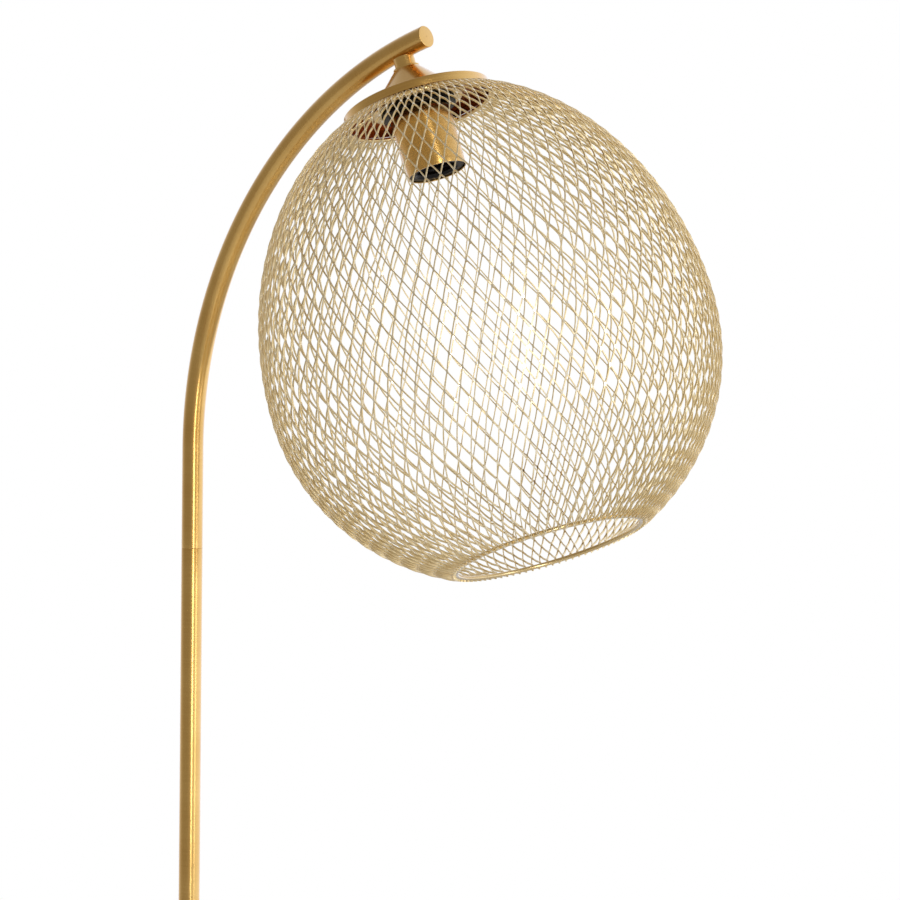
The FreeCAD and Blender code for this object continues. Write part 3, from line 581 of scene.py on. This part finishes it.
@dataclass(frozen=True)
class ArmLine:
    """Centreline of the arm and the axis that the shade hangs on."""

    foot: float = 1157.7
    straight: float = 70.0
    bend: float = 293.0
    turn_deg: float = 72.8
    setback: float = 22.0

    @property
    def length(self) -> float:
        """Length of the arm's centreline."""
        return self.straight + self.bend * math.radians(self.turn_deg)

    def bent(self, turn: float) -> tuple[float, float]:
        """Distance out and level of the centreline after a turn of the bend."""
        rise = self.bend * math.sin(turn)
        return self.bend * (1 - math.cos(turn)), self.foot + self.straight + rise

    def station(self, along: float) -> Matrix:
        """Frame in millimetres of the section so far from the arm's seam, with Z along it."""
        if along <= self.straight:
            return Matrix.Translation((0, 0, self.foot + along))
        turn = (along - self.straight) / self.bend
        x, z = self.bent(turn)
        return Matrix.Translation((x, 0, z)) @ Matrix.Rotation(turn, 4, "Y")

    @property
    def shade_axis(self) -> Matrix:
        """Frame in metres whose Z runs down the shade's axis from the arm's centreline."""
        turn = math.radians(self.turn_deg) - self.setback / self.bend
        x, z = self.bent(turn)
        foot = Matrix.Translation((x * MM, 0, z * MM))
        return foot @ Matrix.Rotation(math.pi / 2 + turn, 4, "Y")


# ---- assemblies, and the base


@dataclass
class Assembly(ABC):
    """A sub-assembly of the lamp, whose fields are its sizes."""

    axis: Matrix | None = None  # where its turned pieces stand, in metres

    @abstractmethod
    def build(self, frame: dict, finishes: Finishes) -> None:
        """Build the pieces and dress them, and dress what is kept from the frame."""

    def spin(
        self,
        name: str,
        finish: Finish,
        node: str,
        outline: Outline,
        steps: int = 96,
        place: Matrix | None = None,
        **path: Ripple | Station,
    ) -> Object:
        """Spin a piece from its outline and fit it in place of a frame node."""
        obj = Turned(name, outline, steps, **path).build()
        fit(obj, finish, node, self.axis if place is None else place)
        return obj


@dataclass
class Base(Assembly):
    """Weighted disc: spun cover, iron weight, rubber pad, cable bush and the pole's collar."""

    radius: float = 135.0
    wall: float = 1.2
    shoulder: float = 5.0
    lip: float = 1.0  # level of the cover's lower edge
    pad: float = 2.0
    pad_inset: float = 0.6
    pad_hole: float = 0.5
    top: float = 15.2
    weight_top: float = 14.0
    bush_level: float = 6.5
    bush_bore: float = 3.0
    bush_flange: float = 5.7
    bush_body: float = 4.5
    bush_length: float = 8.7
    collar_radius: float = 13.0
    collar_tall: float = 8.0
    collar_sill: float = 2.5
    collar_bore: float = 7.55

    def build(self, frame: dict, finishes: Finishes) -> None:
        """Build and dress the base."""
        self.build_cover(finishes)
        edge = self.radius - self.wall - self.pad_inset
        corners = sleeve(self.pad_hole, edge, 0, self.pad, 0.5)
        outline = divided(rounded(corners), 25.0)
        self.spin("base_pad_sheet", finishes.rubber, "base_pad", outline, 128)
        self.build_bush(finishes)
        self.build_collar(finishes)
        dress(frame, finishes.iron, "base_weight")
        dress(frame, finishes.zinc, "base_washer", "base_nut", "base_stud")

    def build_cover(self, finishes: Finishes) -> None:
        """Build the spun cover over the weight."""
        skin = self.radius - self.wall
        corners = [
            (ROD_BORE, self.weight_top),
            (skin, self.weight_top, self.shoulder - self.wall),
            (skin, self.lip),
            (self.radius, self.lip),
            (self.radius, self.top, self.shoulder),
            (ROD_BORE, self.top),
        ]
        outline = divided(rounded(corners, steps=10, soften=0.3), 12.0)
        self.spin("base_cover_spun", finishes.spun, "base_cover", outline, 192)

    def build_bush(self, finishes: Finishes) -> None:
        """Build the bush where the cable enters."""
        corners = [
            (self.bush_bore, 0),
            (self.bush_flange, 0),
            (self.bush_flange, self.wall, 0.6),
            (self.bush_body, self.wall),
            (self.bush_body, self.bush_length),
            (self.bush_bore, self.bush_length),
        ]
        outline = rounded(corners, soften=0.3)
        out = Matrix.Translation((-(self.radius + self.wall) * MM, 0, self.bush_level * MM))
        inward = out @ Matrix.Rotation(math.pi / 2, 4, "Y")
        self.spin("cable_bush", finishes.nylon, "inlet_bush", outline, 48, inward)

    def build_collar(self, finishes: Finishes) -> None:
        """Build the turned collar that the pole stands in."""
        sill = self.top + self.collar_sill
        rim = self.top + self.collar_tall
        corners = [
            (ROD_BORE, self.top),
            (self.collar_radius, self.top),
            (self.collar_radius, rim, 2.5),
            (self.collar_bore, rim),
            (self.collar_bore, sill),
            (ROD_BORE, sill),
        ]
        outline = rounded(corners, soften=0.25)
        self.spin("pole_foot_collar", finishes.spun, "foot_collar", outline)


# ---- pole and arm


@dataclass
class Pole(Assembly):
    """Three straight tubes that screw end to end."""

    foot: float = 17.7
    section: float = 380.0
    names: tuple[str, ...] = ("pole_lower", "pole_middle", "pole_upper")

    def build(self, frame: dict, finishes: Finishes) -> None:
        """Build and dress the pole."""
        for index, node in enumerate(self.names):
            low = self.foot + index * self.section
            high = low + self.section
            corners = sleeve(TUBE_BORE, TUBE_OUTSIDE, low, high, TUBE_EDGE, TUBE_EDGE)
            self.spin(f"{node}_tube", finishes.tube, node, divided(rounded(corners), 60.0), 72)
        dress(frame, finishes.zinc, "tube_inserts", "joint_rods")


@dataclass
class Arm(Assembly):
    """Bent tube with its closed end, and the stub that carries the shade."""

    line: ArmLine = field(default_factory=ArmLine)
    disc: float = 1.2
    plug: float = 4.0
    plug_slack: float = 0.05
    neck: float = 7.2
    neck_top: float = 6.6
    neck_foot: float = 13.6

    def build(self, frame: dict, finishes: Finishes) -> None:
        """Build and dress the arm."""
        corners = sleeve(TUBE_BORE, TUBE_OUTSIDE, 0.0, self.line.length, TUBE_EDGE)
        outline = divided(rounded(corners), 6.0)
        path = self.line.station
        self.spin("arm_tube_bent", finishes.tube, "arm_tube", outline, 72, station=path)
        snug = TUBE_BORE - self.plug_slack
        middle = 0.3  # radius of the fine hole that closes the spun outline
        plug = [
            (middle, -self.plug),
            (snug, -self.plug),
            (snug, 0.0),
            (TUBE_OUTSIDE, 0.0),
            (TUBE_OUTSIDE, self.disc, 0.5),
            (middle, self.disc),
        ]
        place = path(self.line.length)
        place.translation *= MM
        self.spin("arm_end_disc", finishes.spun, "arm_end_cap", rounded(plug), 72, place)
        stub = sleeve(ROD_BORE, self.neck, self.neck_top, self.neck_foot)
        place = self.line.shade_axis
        self.spin("neck_stub", finishes.spun, "neck", rounded(stub), 72, place)


# ---- cap and lampholder


@dataclass
class Cap(Assembly):
    """Spun conical cap with a short rolled rim."""

    top: float = 13.6
    top_radius: float = 9.1
    collar: float = 1.2
    tall: float = 29.6
    radius: float = 50.2
    rim: float = 5.8
    dish: float = 1.0
    cone_radius: float = 30.0
    flare: float = 10.0
    edge: float = 0.8
    wall: float = 0.7

    def build(self, frame: dict, finishes: Finishes) -> None:
        """Build and dress the cap."""
        foot = self.top + self.tall
        shelf = foot - self.rim
        cone_foot = shelf - self.dish
        cone_top = self.top + self.collar
        slope = (self.cone_radius - self.top_radius) / (cone_foot - cone_top)
        across = self.wall * math.sqrt(1 + slope**2)
        inner_top = self.top_radius - (self.collar - self.wall) * slope - across
        inner_foot = self.cone_radius + self.wall * slope - across
        corners = [
            (ROD_BORE, self.top),
            (self.top_radius, self.top, 0.3),
            (self.top_radius, cone_top, 0.3),
            (self.cone_radius, cone_foot, self.flare),
            (self.radius, shelf, self.edge),
            (self.radius, foot),
            (self.radius - self.wall, foot),
            (self.radius - self.wall, shelf + self.wall, self.edge - self.wall),
            (inner_foot, cone_foot + self.wall, self.flare + self.wall),
            (inner_top, self.top + self.wall),
            (ROD_BORE, self.top + self.wall),
        ]
        outline = divided(rounded(corners, steps=8), 4.0)
        cap = self.spin("shade_cap_spun", finishes.spun, "shade_cap", outline, 160)
        # The faces that look down and in take the darker inside finish: painted shade of the cap's
        # hollow.
        cap.data.materials.append(finishes.inside.material)
        for face in cap.data.polygons:  # those that look down and in are the inside
            out = Vector((face.center.x, face.center.y, 0)).normalized()
            face.material_index = int(face.normal.dot(out) < face.normal.z - 0.1)
        dress(frame, finishes.zinc, "neck_rod", "cap_nut")


@dataclass(frozen=True)
class ClampRing:
    """Threaded ring with a moulded finger grip."""

    name: str
    node: str
    outside: float
    top: float
    thick: float
    flutes: int
    flute_depth: float = 0.45
    grip_depth: float = 0.8  # only points this near to the outside are fluted

    def flute(self, radius: float, level: float, turn: float) -> float:
        """Ripple of the finger grip."""
        if radius < self.outside - self.grip_depth:
            return radius
        return radius - self.flute_depth * max(0.0, math.cos(self.flutes * turn)) ** 3


@dataclass
class Lampholder(Assembly):
    """Screw lampholder in a brass cup, clamped to the shade by two threaded rings."""

    neck_top: float = 34.6
    cup_top: float = 45.6
    cup_mouth: float = 88.7
    thread_radius: float = 20.0
    thread_pitch: float = 2.0
    thread_depth: float = 0.5
    ring_slack: float = 0.05
    rings: tuple[ClampRing, ...] = (
        ClampRing("clamp_ring_top", "clamp_ring_upper", 23.4, 36.4, 3.6, 24),
        ClampRing("clamp_ring_foot", "clamp_ring_lower", 25.4, 41.8, 3.8, 28),
    )
    cup_radius: float = 20.9
    mouth_radius: float = 20.0
    cup_wall: float = 0.8
    floor: float = 65.1
    body_radius: float = 18.7
    body_inset: float = 1.0  # body's mouth stands this far inside the cup's
    body_room: float = 0.7  # between the shell's bore and the body round it
    body_funnel: tuple[float, float] = (1.0, 1.5)  # wide and tall, round the mouth
    skirt: float = 9.0  # the body narrows to the lamp thread this far under its floor
    shell_radius: float = 13.2
    shell_bore: float = 4.6
    shell_tall: float = 8.5
    shell_sheet: float = 0.3
    shell_floor: float = 0.4
    shell_pitch: float = 3.62  # pitch of the standard lamp thread
    shell_wave: float = 0.22
    shell_plain: float = 1.5  # the wave starts this far from the floor and takes the ease to grow
    shell_ease: float = 2.0
    spring_radius: float = 2.9
    spring_wire: float = 0.25
    spring_turns: int = 3
    spring_foot: float = 65.4
    spring_top: float = 68.6
    spring_kept: float = 0.58  # share of its height left when the contact is pressed home
    fine: float = 0.4  # longest side of an outline that carries a thread

    def build(self, frame: dict, finishes: Finishes) -> None:
        """Build and dress the lampholder."""
        self.build_clamp(finishes)
        self.build_cup(finishes)
        self.build_body(finishes)
        self.build_shell(finishes)
        dress(frame, finishes.bare, "terminal_screws", "centre_contact")
        self.build_spring(finishes)
        dress(frame, finishes.phenolic, "holder_base")

    def thread(self, radius: float, level: float, turn: float) -> float:
        """Ripple of the neck's outside thread."""
        if radius < self.thread_radius - self.thread_depth:
            return radius
        phase = level / self.thread_pitch - turn / (2 * math.pi)
        return radius - self.thread_depth * abs(2 * (phase % 1) - 1)

    def wave(self, radius: float, level: float, turn: float) -> float:
        """Ripple of the rolled lamp thread, which fades out at the shell's floor."""
        if radius < self.shell_radius - 0.5:
            return radius
        ease = min(1.0, max(0.0, (level - self.floor - self.shell_plain) / self.shell_ease))
        phase = 2 * math.pi * level / self.shell_pitch - turn
        return radius + ease * self.shell_wave * math.cos(phase)

    def skirt_wave(self, radius: float, level: float, turn: float) -> float:
        """Ripple of the body, with the lamp thread moulded in its skirt."""
        if radius > self.shell_radius + 0.3:
            return radius
        return self.wave(radius, level, turn)

    def build_clamp(self, finishes: Finishes) -> None:
        """Build the threaded neck and the two rings on it."""
        neck = sleeve(ROD_BORE, self.thread_radius, self.neck_top, self.cup_top, 0.6)
        outline = divided(rounded(neck), self.fine)
        black, ripple = finishes.phenolic, self.thread
        self.spin("holder_thread_neck", black, "holder_neck", outline, ripple=ripple)
        bore = self.thread_radius + self.ring_slack
        for ring in self.rings:
            corners = sleeve(bore, ring.outside, ring.top, ring.top + ring.thick, 0.6, 0.6)
            outline = rounded(corners, soften=0.2)
            self.spin(ring.name, black, ring.node, outline, ring.flutes * 8, ripple=ring.flute)

    def build_cup(self, finishes: Finishes) -> None:
        """Build the brass cup."""
        corners = [
            (ROD_BORE, self.cup_top),
            (self.cup_radius, self.cup_top, 2.5),
            (self.mouth_radius, self.cup_mouth, 0.3),
            (self.mouth_radius - self.cup_wall, self.cup_mouth, 0.3),
            (self.cup_radius - self.cup_wall, self.cup_top + self.cup_wall, 1.7),
            (ROD_BORE, self.cup_top + self.cup_wall),
        ]
        outline = divided(rounded(corners, steps=8), 4.0)
        self.spin("holder_cup_spun", finishes.spun, "lamp_cup", outline, 128)

    def build_body(self, finishes: Finishes) -> None:
        """Build the insulating body."""
        mouth = self.cup_mouth - self.body_inset
        room = self.shell_radius + self.body_room
        wide, tall = self.body_funnel
        skirt = self.floor + self.skirt
        body = [
            (room, self.floor),
            (self.body_radius, self.floor),
            (self.body_radius, mouth, 0.6),
            (room + wide, mouth),
            (self.shell_radius, mouth - tall),
            (self.shell_radius, skirt),
            (room, skirt),
        ]
        outline = divided(rounded(body), self.fine)
        black, ripple = finishes.phenolic, self.skirt_wave
        self.spin("holder_body_moulded", black, "holder_body", outline, ripple=ripple)

    def build_shell(self, finishes: Finishes) -> None:
        """Build the screw shell."""
        top = self.floor + 0.3
        foot = top + self.shell_tall
        outer = self.shell_radius + 0.4 - self.shell_wave
        inner = outer - self.shell_sheet
        shell = [
            (self.shell_bore, top),
            (outer, top),
            (outer, foot),
            (inner, foot),
            (inner, top + self.shell_floor),
            (self.shell_bore, top + self.shell_floor),
        ]
        outline = divided(shell, self.fine)
        self.spin("screw_shell_rolled", finishes.bare, "screw_shell", outline, ripple=self.wave)

    def build_spring(self, finishes: Finishes) -> None:
        """Build the spring behind the centre contact, at rest; the real one shortens when it is
        pressed.
        """
        count = self.spring_turns * 36
        low, high = self.spring_foot + self.spring_wire, self.spring_top - self.spring_wire
        centres = [
            at(
                self.spring_radius,
                2 * math.pi * self.spring_turns * step / count,
                low + (high - low) * step / count,
            )
            for step in range(count + 1)
        ]
        spring = wire("contact_spring_wound", centres, self.spring_wire, closed=False, sides=12)
        fit(spring, finishes.zinc, "contact_spring", self.axis)
        bpy.context.view_layer.update()
        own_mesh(spring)


# ---- shade


@dataclass
class GlobeMesh:
    """Expanded-metal globe at its real density.

    The sheet is slit along the meridians and drawn open round the globe, so a strand keeps its
    length and the diamonds narrow towards both ends.  At a bond two strands lie side by side.
    """

    columns: int = 88
    half_rows: int = 34
    radius: float = 150.0
    upper: float = 188.0
    lower: float = 147.0
    widest: float = 220.509
    top_radius: float = 52.5
    bottom_radius: float = 65.5
    strand: float = 0.68
    depth: float = 1.1
    bow: float = 0.8  # how far a strand stands out between its bonds
    bond: float = 2.0  # length of the uncut metal between two slits
    bond_proud: float = 0.2
    bond_sunk: float = 0.04
    wander: float = 0.22
    seed: int = 7
    polar_step: float = 1e-4
    shortest: float = 9.0  # bounds of the search for the strand's length
    longest: float = 15.0
    rings: list[float] = field(default_factory=list)
    points: list[Vector] = field(default_factory=list)
    bond_and_painted_highlight: list[float] = field(default_factory=list)
    faces: list[tuple[int, ...]] = field(default_factory=list)

    def surface(self, polar: float, around: float) -> Vector:
        """Point of the outer surface; polar runs from the top of the globe to its bottom."""
        axial = self.upper if polar < math.pi / 2 else self.lower
        level = self.widest - axial * math.cos(polar)
        return at(self.radius * math.sin(polar), around, level)

    def normal(self, point: Vector) -> Vector:
        """Outward normal of the surface near a point."""
        rise = point.z - self.widest
        axial = self.upper if rise < 0 else self.lower
        flat = self.radius**2
        return Vector((point.x / flat, point.y / flat, rise / axial**2)).normalized()

    def march(self, length: float) -> list[float]:
        """Polar angles of the node rings, from the top down, for strands of a length."""
        polar = math.asin(self.top_radius / self.radius)
        found = [polar]
        for _ in range(self.half_rows):
            half_column = math.pi * self.radius * math.sin(polar) / self.columns
            rise = math.sqrt(max(length**2 - half_column**2, 1.0))
            gone = 0.0
            while gone < rise:
                step = self.surface(polar + self.polar_step, 0) - self.surface(polar, 0)
                gone += step.length
                polar += self.polar_step
            found.append(polar)
        return found

    def settle(self) -> None:
        """Find the strand length that ends the last ring on the bottom opening."""
        goal = math.pi - math.asin(self.bottom_radius / self.radius)
        low, high = self.shortest, self.longest
        for _ in range(16):
            middle = (low + high) / 2
            if self.march(middle)[-1] < goal:
                low = middle
            else:
                high = middle
        self.rings = self.march((low + high) / 2)
        LOG.info("mesh: strand %.2f mm", (low + high) / 2)

    def place_nodes(self) -> dict[tuple[int, int], Vector]:
        """Place the bonds, each a little off its true place as drawn metal leaves it."""
        chance = random.Random(self.seed)
        nodes = {}
        last = len(self.rings) - 1
        for ring, polar in enumerate(self.rings):
            for column in range(ring % 2, 2 * self.columns, 2):
                point = self.surface(polar, math.pi * column / self.columns)
                if 0 < ring < last:
                    off = Vector([chance.gauss(0, self.wander) for _ in range(3)])
                    out = self.normal(point)
                    point += off - out * off.dot(out)
                nodes[(ring, column)] = point
        return nodes

    def add_point(self, point: Vector, bond_and_painted_highlight: float) -> int:
        """Add one vertex with its share of the bond's near-white colour, a painted highlight."""
        self.points.append(point * MM)
        self.bond_and_painted_highlight.append(bond_and_painted_highlight)
        return len(self.points) - 1

    def build(self) -> Object:
        """Make the mesh object in the shade's own frame."""
        self.settle()
        nodes = self.place_nodes()
        last = len(self.rings) - 1
        wrap = 2 * self.columns
        for (ring, column), here in nodes.items():
            self.add_bond(ring, column, here)
            if ring == last:
                continue
            for step in (-1, 1):
                self.add_strand(here, nodes[(ring + 1, (column + step) % wrap)])
        obj = new_object("globe_mesh_drawn", self.points, self.faces, sharp_deg=30.0)
        layer = obj.data.attributes.new("bond", "FLOAT", "POINT")
        layer.data.foreach_set("value", self.bond_and_painted_highlight)
        return obj

    def add_bond(self, ring: int, column: int, here: Vector) -> None:
        """Add the small lozenge of uncut metal where four strands meet."""
        out = self.normal(here)
        polar, around = self.rings[ring], math.pi * column / self.columns
        down = self.surface(polar + 10 * self.polar_step, around) - self.surface(polar, around)
        down.normalize()
        side = down.cross(out).normalized()
        half_wide = self.strand * 0.95
        half_long = self.bond / 2
        shape = [(0, -1.5), (1, -0.6), (1, 0.6), (0, 1.5), (-1, 0.6), (-1, -0.6)]
        corners = [here + side * (a * half_wide) + down * (b * half_long) for a, b in shape]
        top, foot = out * self.bond_proud, out * -(self.depth + self.bond_sunk)
        # The lozenge's faces take the full painted highlight colour; its sides keep the strand
        # colour.
        self.faces.append(tuple(self.add_point(c + top, 1.0) for c in corners))
        self.faces.append(tuple(self.add_point(c + foot, 1.0) for c in reversed(corners)))
        outer = [self.add_point(c + top, 0.0) for c in corners]
        inner = [self.add_point(c + foot, 0.0) for c in corners]
        for i in range(6):
            j = (i + 1) % 6
            self.faces.append((outer[i], inner[i], inner[j], outer[j]))

    def add_strand(self, start: Vector, end: Vector) -> None:
        """Add one strand, twisted a little as the slit sheet opens."""
        shares = (0.0, 0.2, 0.5, 0.8, 1.0)
        # Strand ends take part of the bond's near-white colour: a painted highlight beside each
        # bond.
        tones = (0.6, 0.1, 0.0, 0.1, 0.6)
        rows = []
        for share, tone in zip(shares, tones):
            centre = start.lerp(end, share)
            out = self.normal(centre)
            side = out.cross(end - start).normalized() * (self.strand / 2)
            centre = centre + out * (self.bow * 4 * share * (1 - share))
            inward = out * -self.depth
            rows.append(
                [
                    self.add_point(centre + side, tone),
                    self.add_point(centre - side, tone),
                    self.add_point(centre - side + inward, tone),
                    self.add_point(centre + side + inward, tone),
                ]
            )
        for low, high in zip(rows, rows[1:]):
            for k in range(4):
                m = (k + 1) % 4
                self.faces.append((low[k], low[m], high[m], high[k]))


@dataclass
class Shade(Assembly):
    """Wire globe with its rings, spokes and fitter hub."""

    ring_level: float = 45.4
    ring_radius: float = 49.0
    ring_wire: float = 1.5
    hub_top: float = 40.3
    hub_radius: float = 31.0
    hub_bore: float = 20.35
    hub_thick: float = 1.2
    spoke_wire: float = 1.2
    spoke_turn_deg: float = -39.0
    spoke_bite: float = 0.05
    spoke_foot: tuple[tuple[float, float], ...] = ((-1.0, 0.0), (2.0, 0.75))  # out and down
    spoke_tip: tuple[tuple[float, float], ...] = ((-3.0, -1.15), (0.0, 0.0))
    mouth_level: float = 351.4
    mouth_radius: float = 62.4
    mouth_wire: float = 1.45
    mesh: GlobeMesh = field(default_factory=GlobeMesh)

    @staticmethod
    def hoop(name: str, radius: float, level: float, thick: float, steps: int) -> Object:
        """Make a closed wire hoop from the radius and level of its centreline."""
        centres = [at(radius, 2 * math.pi * k / steps, level) for k in range(steps)]
        return wire(name, centres, thick, closed=True)

    def spoke(self, index: int) -> Object:
        """Make one spoke from the hub's upper side to the top ring."""
        turn = math.radians(self.spoke_turn_deg + 120 * index)
        foot = self.hub_top - self.spoke_wire + self.spoke_bite
        places = [(self.hub_radius + out, foot + down) for out, down in self.spoke_foot]
        places += [(self.ring_radius + out, self.ring_level + down) for out, down in self.spoke_tip]
        centres = [at(radius, turn, level) for radius, level in places]
        return wire(f"spoke_{index}", centres, self.spoke_wire, closed=False, sides=16)

    def build(self, frame: dict, finishes: Finishes) -> None:
        """Build and dress the shade."""
        hub_foot = self.hub_top + self.hub_thick
        plate = sleeve(self.hub_bore, self.hub_radius, self.hub_top, hub_foot)
        hub = Turned("hub", rounded(plate, soften=0.2), 96).build()
        top = self.hoop("top_hoop", self.ring_radius, self.ring_level, self.ring_wire, 144)
        spider = joined("shade_spider_welded", [top, hub] + [self.spoke(i) for i in range(3)])
        fit(spider, finishes.wire, "shade_spider", self.axis)
        level, thick = self.mouth_level, self.mouth_wire
        mouth = self.hoop("shade_mouth_ring", self.mouth_radius, level, thick, 180)
        fit(mouth, finishes.wire, "shade_bottom_ring", self.axis)
        globe = self.mesh.build()
        globe.data.transform(self.axis)  # placed by its points, so that its box is a tight one
        fit(globe, finishes.mesh, "shade_mesh")


# ---- studio


@dataclass
class Studio:
    """Camera, plain floor and soft light."""

    camera_m: tuple[float, float, float] = (1.7089, -1.8465, 1.3199)
    ahead: tuple[float, float, float] = (-0.62435, 0.78030, -0.03633)
    up: tuple[float, float, float] = (-0.03134, 0.02145, 0.99928)
    lens: float = 142.92
    clip_m: tuple[float, float] = (0.1, 60.0)
    focus_m: tuple[float, float, float] = (0.2, 0.0, 1.32)
    warm: tuple[float, ...] = (1.0, 0.88, 0.68, 1.0)  # the dim side of the room
    cool: tuple[float, ...] = (0.96, 1.0, 1.14, 1.0)  # its bright side
    bright: tuple[float, float, float] = (0.62, 0.62, -0.6)  # ahead, right and up
    dimmest: float = 0.34
    brightest: float = 1.2
    blend: tuple[float, float] = (-0.75, 0.75)  # cosines between which the room brightens
    floor_m: float = 4.0
    floor_drop_m: float = 0.0004  # keeps the floor clear of the pad
    floor_glow: float = 0.12

    def build(self) -> None:
        """Set up the camera, the floor, the lamps and the world."""
        bpy.context.scene.view_settings.view_transform = "Standard"
        self.add_camera()
        self.add_floor()
        self.add_world()
        # A tall, narrow box to the right of the camera draws the bright line on the tubes.
        self.add_softbox("key_softbox", 17.0, 8.0, 2.6, (0.3, 2.4), 18.0)
        self.add_softbox("side_softbox", 56.0, 8.0, 2.6, (0.4, 2.4), 8.0)
        self.add_softbox("top_softbox", 150.0, 50.0, 2.4, (1.2, 1.2), 1.0)

    def add_camera(self) -> None:
        """Add the camera at the picture's viewing angle."""
        data = bpy.data.cameras.new("camera")
        data.lens = self.lens
        data.sensor_width = 36.0
        data.clip_start, data.clip_end = self.clip_m
        camera = bpy.data.objects.new("camera", data)
        ahead = Vector(self.ahead).normalized()
        right = ahead.cross(Vector(self.up)).normalized()
        up = right.cross(ahead)
        turn = Matrix((right, up, -ahead)).transposed().to_4x4()
        camera.matrix_world = Matrix.Translation(self.camera_m) @ turn
        bpy.context.scene.collection.objects.link(camera)
        bpy.context.scene.camera = camera

    @staticmethod
    def for_camera(tree: Tree, usual: Socket, seen: Socket) -> Socket:
        """Take one shader for light and another one for what the camera sees."""
        path = add_node(tree, "LightPath").outputs["Is Camera Ray"]
        return add_node(tree, "MixShader", {0: path, 1: usual, 2: seen}).outputs[0]

    def add_floor(self) -> None:
        """Add a plain pale floor that keeps the lamp's shadow."""
        steps = 96
        turns = [2 * math.pi * k / steps for k in range(steps)]
        points = [at(self.floor_m, turn, -self.floor_drop_m) for turn in turns]
        floor = new_object("floor", points, [tuple(range(steps))])
        material, tree = new_material("pale_floor")
        paint = {"Base Color": linear("#F1F1F0"), "Roughness": 0.9}
        shader = add_node(tree, "BsdfPrincipled", paint)
        glow = add_node(tree, "Emission", {"Strength": self.floor_glow})
        none = add_node(tree, "Emission", {"Strength": 0.0})
        seen = self.for_camera(tree, none.outputs[0], glow.outputs[0])
        both = add_node(tree, "AddShader", {0: shader.outputs[0], 1: seen})
        add_node(tree, "OutputMaterial", {"Surface": both.outputs[0]})
        floor.data.materials.append(material)

    def add_world(self) -> None:
        """Light the lamp from all round, brightest from low on the right behind it."""
        world = bpy.data.worlds.new("studio")
        bpy.context.scene.world = world
        world.use_nodes = True
        tree = world.node_tree
        tree.nodes.clear()
        place = add_node(tree, "TexCoord").outputs["Generated"]
        ahead = Vector(self.ahead)
        right = ahead.cross(Vector(self.up))
        along, across, up = self.bright
        bright = (ahead * along + right * across + Vector((0, 0, up))).normalized()
        product = {"operation": "DOT_PRODUCT", 0: place, 1: tuple(bright)}
        facing = add_node(tree, "VectorMath", product).outputs["Value"]
        strength = (self.dimmest, self.brightest)
        level = mapped(tree, facing, self.blend, strength, "SMOOTHSTEP")
        tint = mixed(tree, level, self.warm, self.cool)
        room = add_node(tree, "Background", {"Color": tint, "Strength": level})
        plain = {"Color": linear("#FFFFFF"), "Strength": 1.0}
        white = add_node(tree, "Background", plain)
        seen = self.for_camera(tree, room.outputs[0], white.outputs[0])
        add_node(tree, "OutputWorld", {"Surface": seen})

    def add_softbox(
        self,
        name: str,
        right_deg: float,
        rise_deg: float,
        away: float,
        size: tuple[float, float],
        power: float,
    ) -> None:
        """Add an area lamp that faces the shade, so far right of the camera and above the level."""
        data = bpy.data.lights.new(name, "AREA")
        data.shape = "RECTANGLE"
        data.size, data.size_y = size
        data.energy = power
        lamp = bpy.data.objects.new(name, data)
        back = Vector((-self.ahead[0], -self.ahead[1], 0)).normalized()
        back.rotate(Matrix.Rotation(math.radians(right_deg), 3, "Z"))
        rise = math.radians(rise_deg)
        towards = back * math.cos(rise) + Vector((0, 0, math.sin(rise)))
        lamp.location = Vector(self.focus_m) + towards * away
        lamp.rotation_mode = "QUATERNION"
        lamp.rotation_quaternion = (-towards).to_track_quat("-Z", "Y")
        bpy.context.scene.collection.objects.link(lamp)


# ---- the lamp


def main() -> None:
    """Build the studio and every sub-assembly in order."""
    logging.basicConfig(level=logging.INFO, format="%(name)s %(message)s", stream=sys.stdout)
    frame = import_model()
    Studio().build()
    finishes = Finishes()
    line = ArmLine()
    for assembly in (
        Base(),
        Pole(),
        Arm(line=line),
        Cap(line.shade_axis),
        Lampholder(line.shade_axis),
        Shade(line.shade_axis),
    ):
        assembly.build(frame, finishes)


if __name__ == "__main__":
    main()
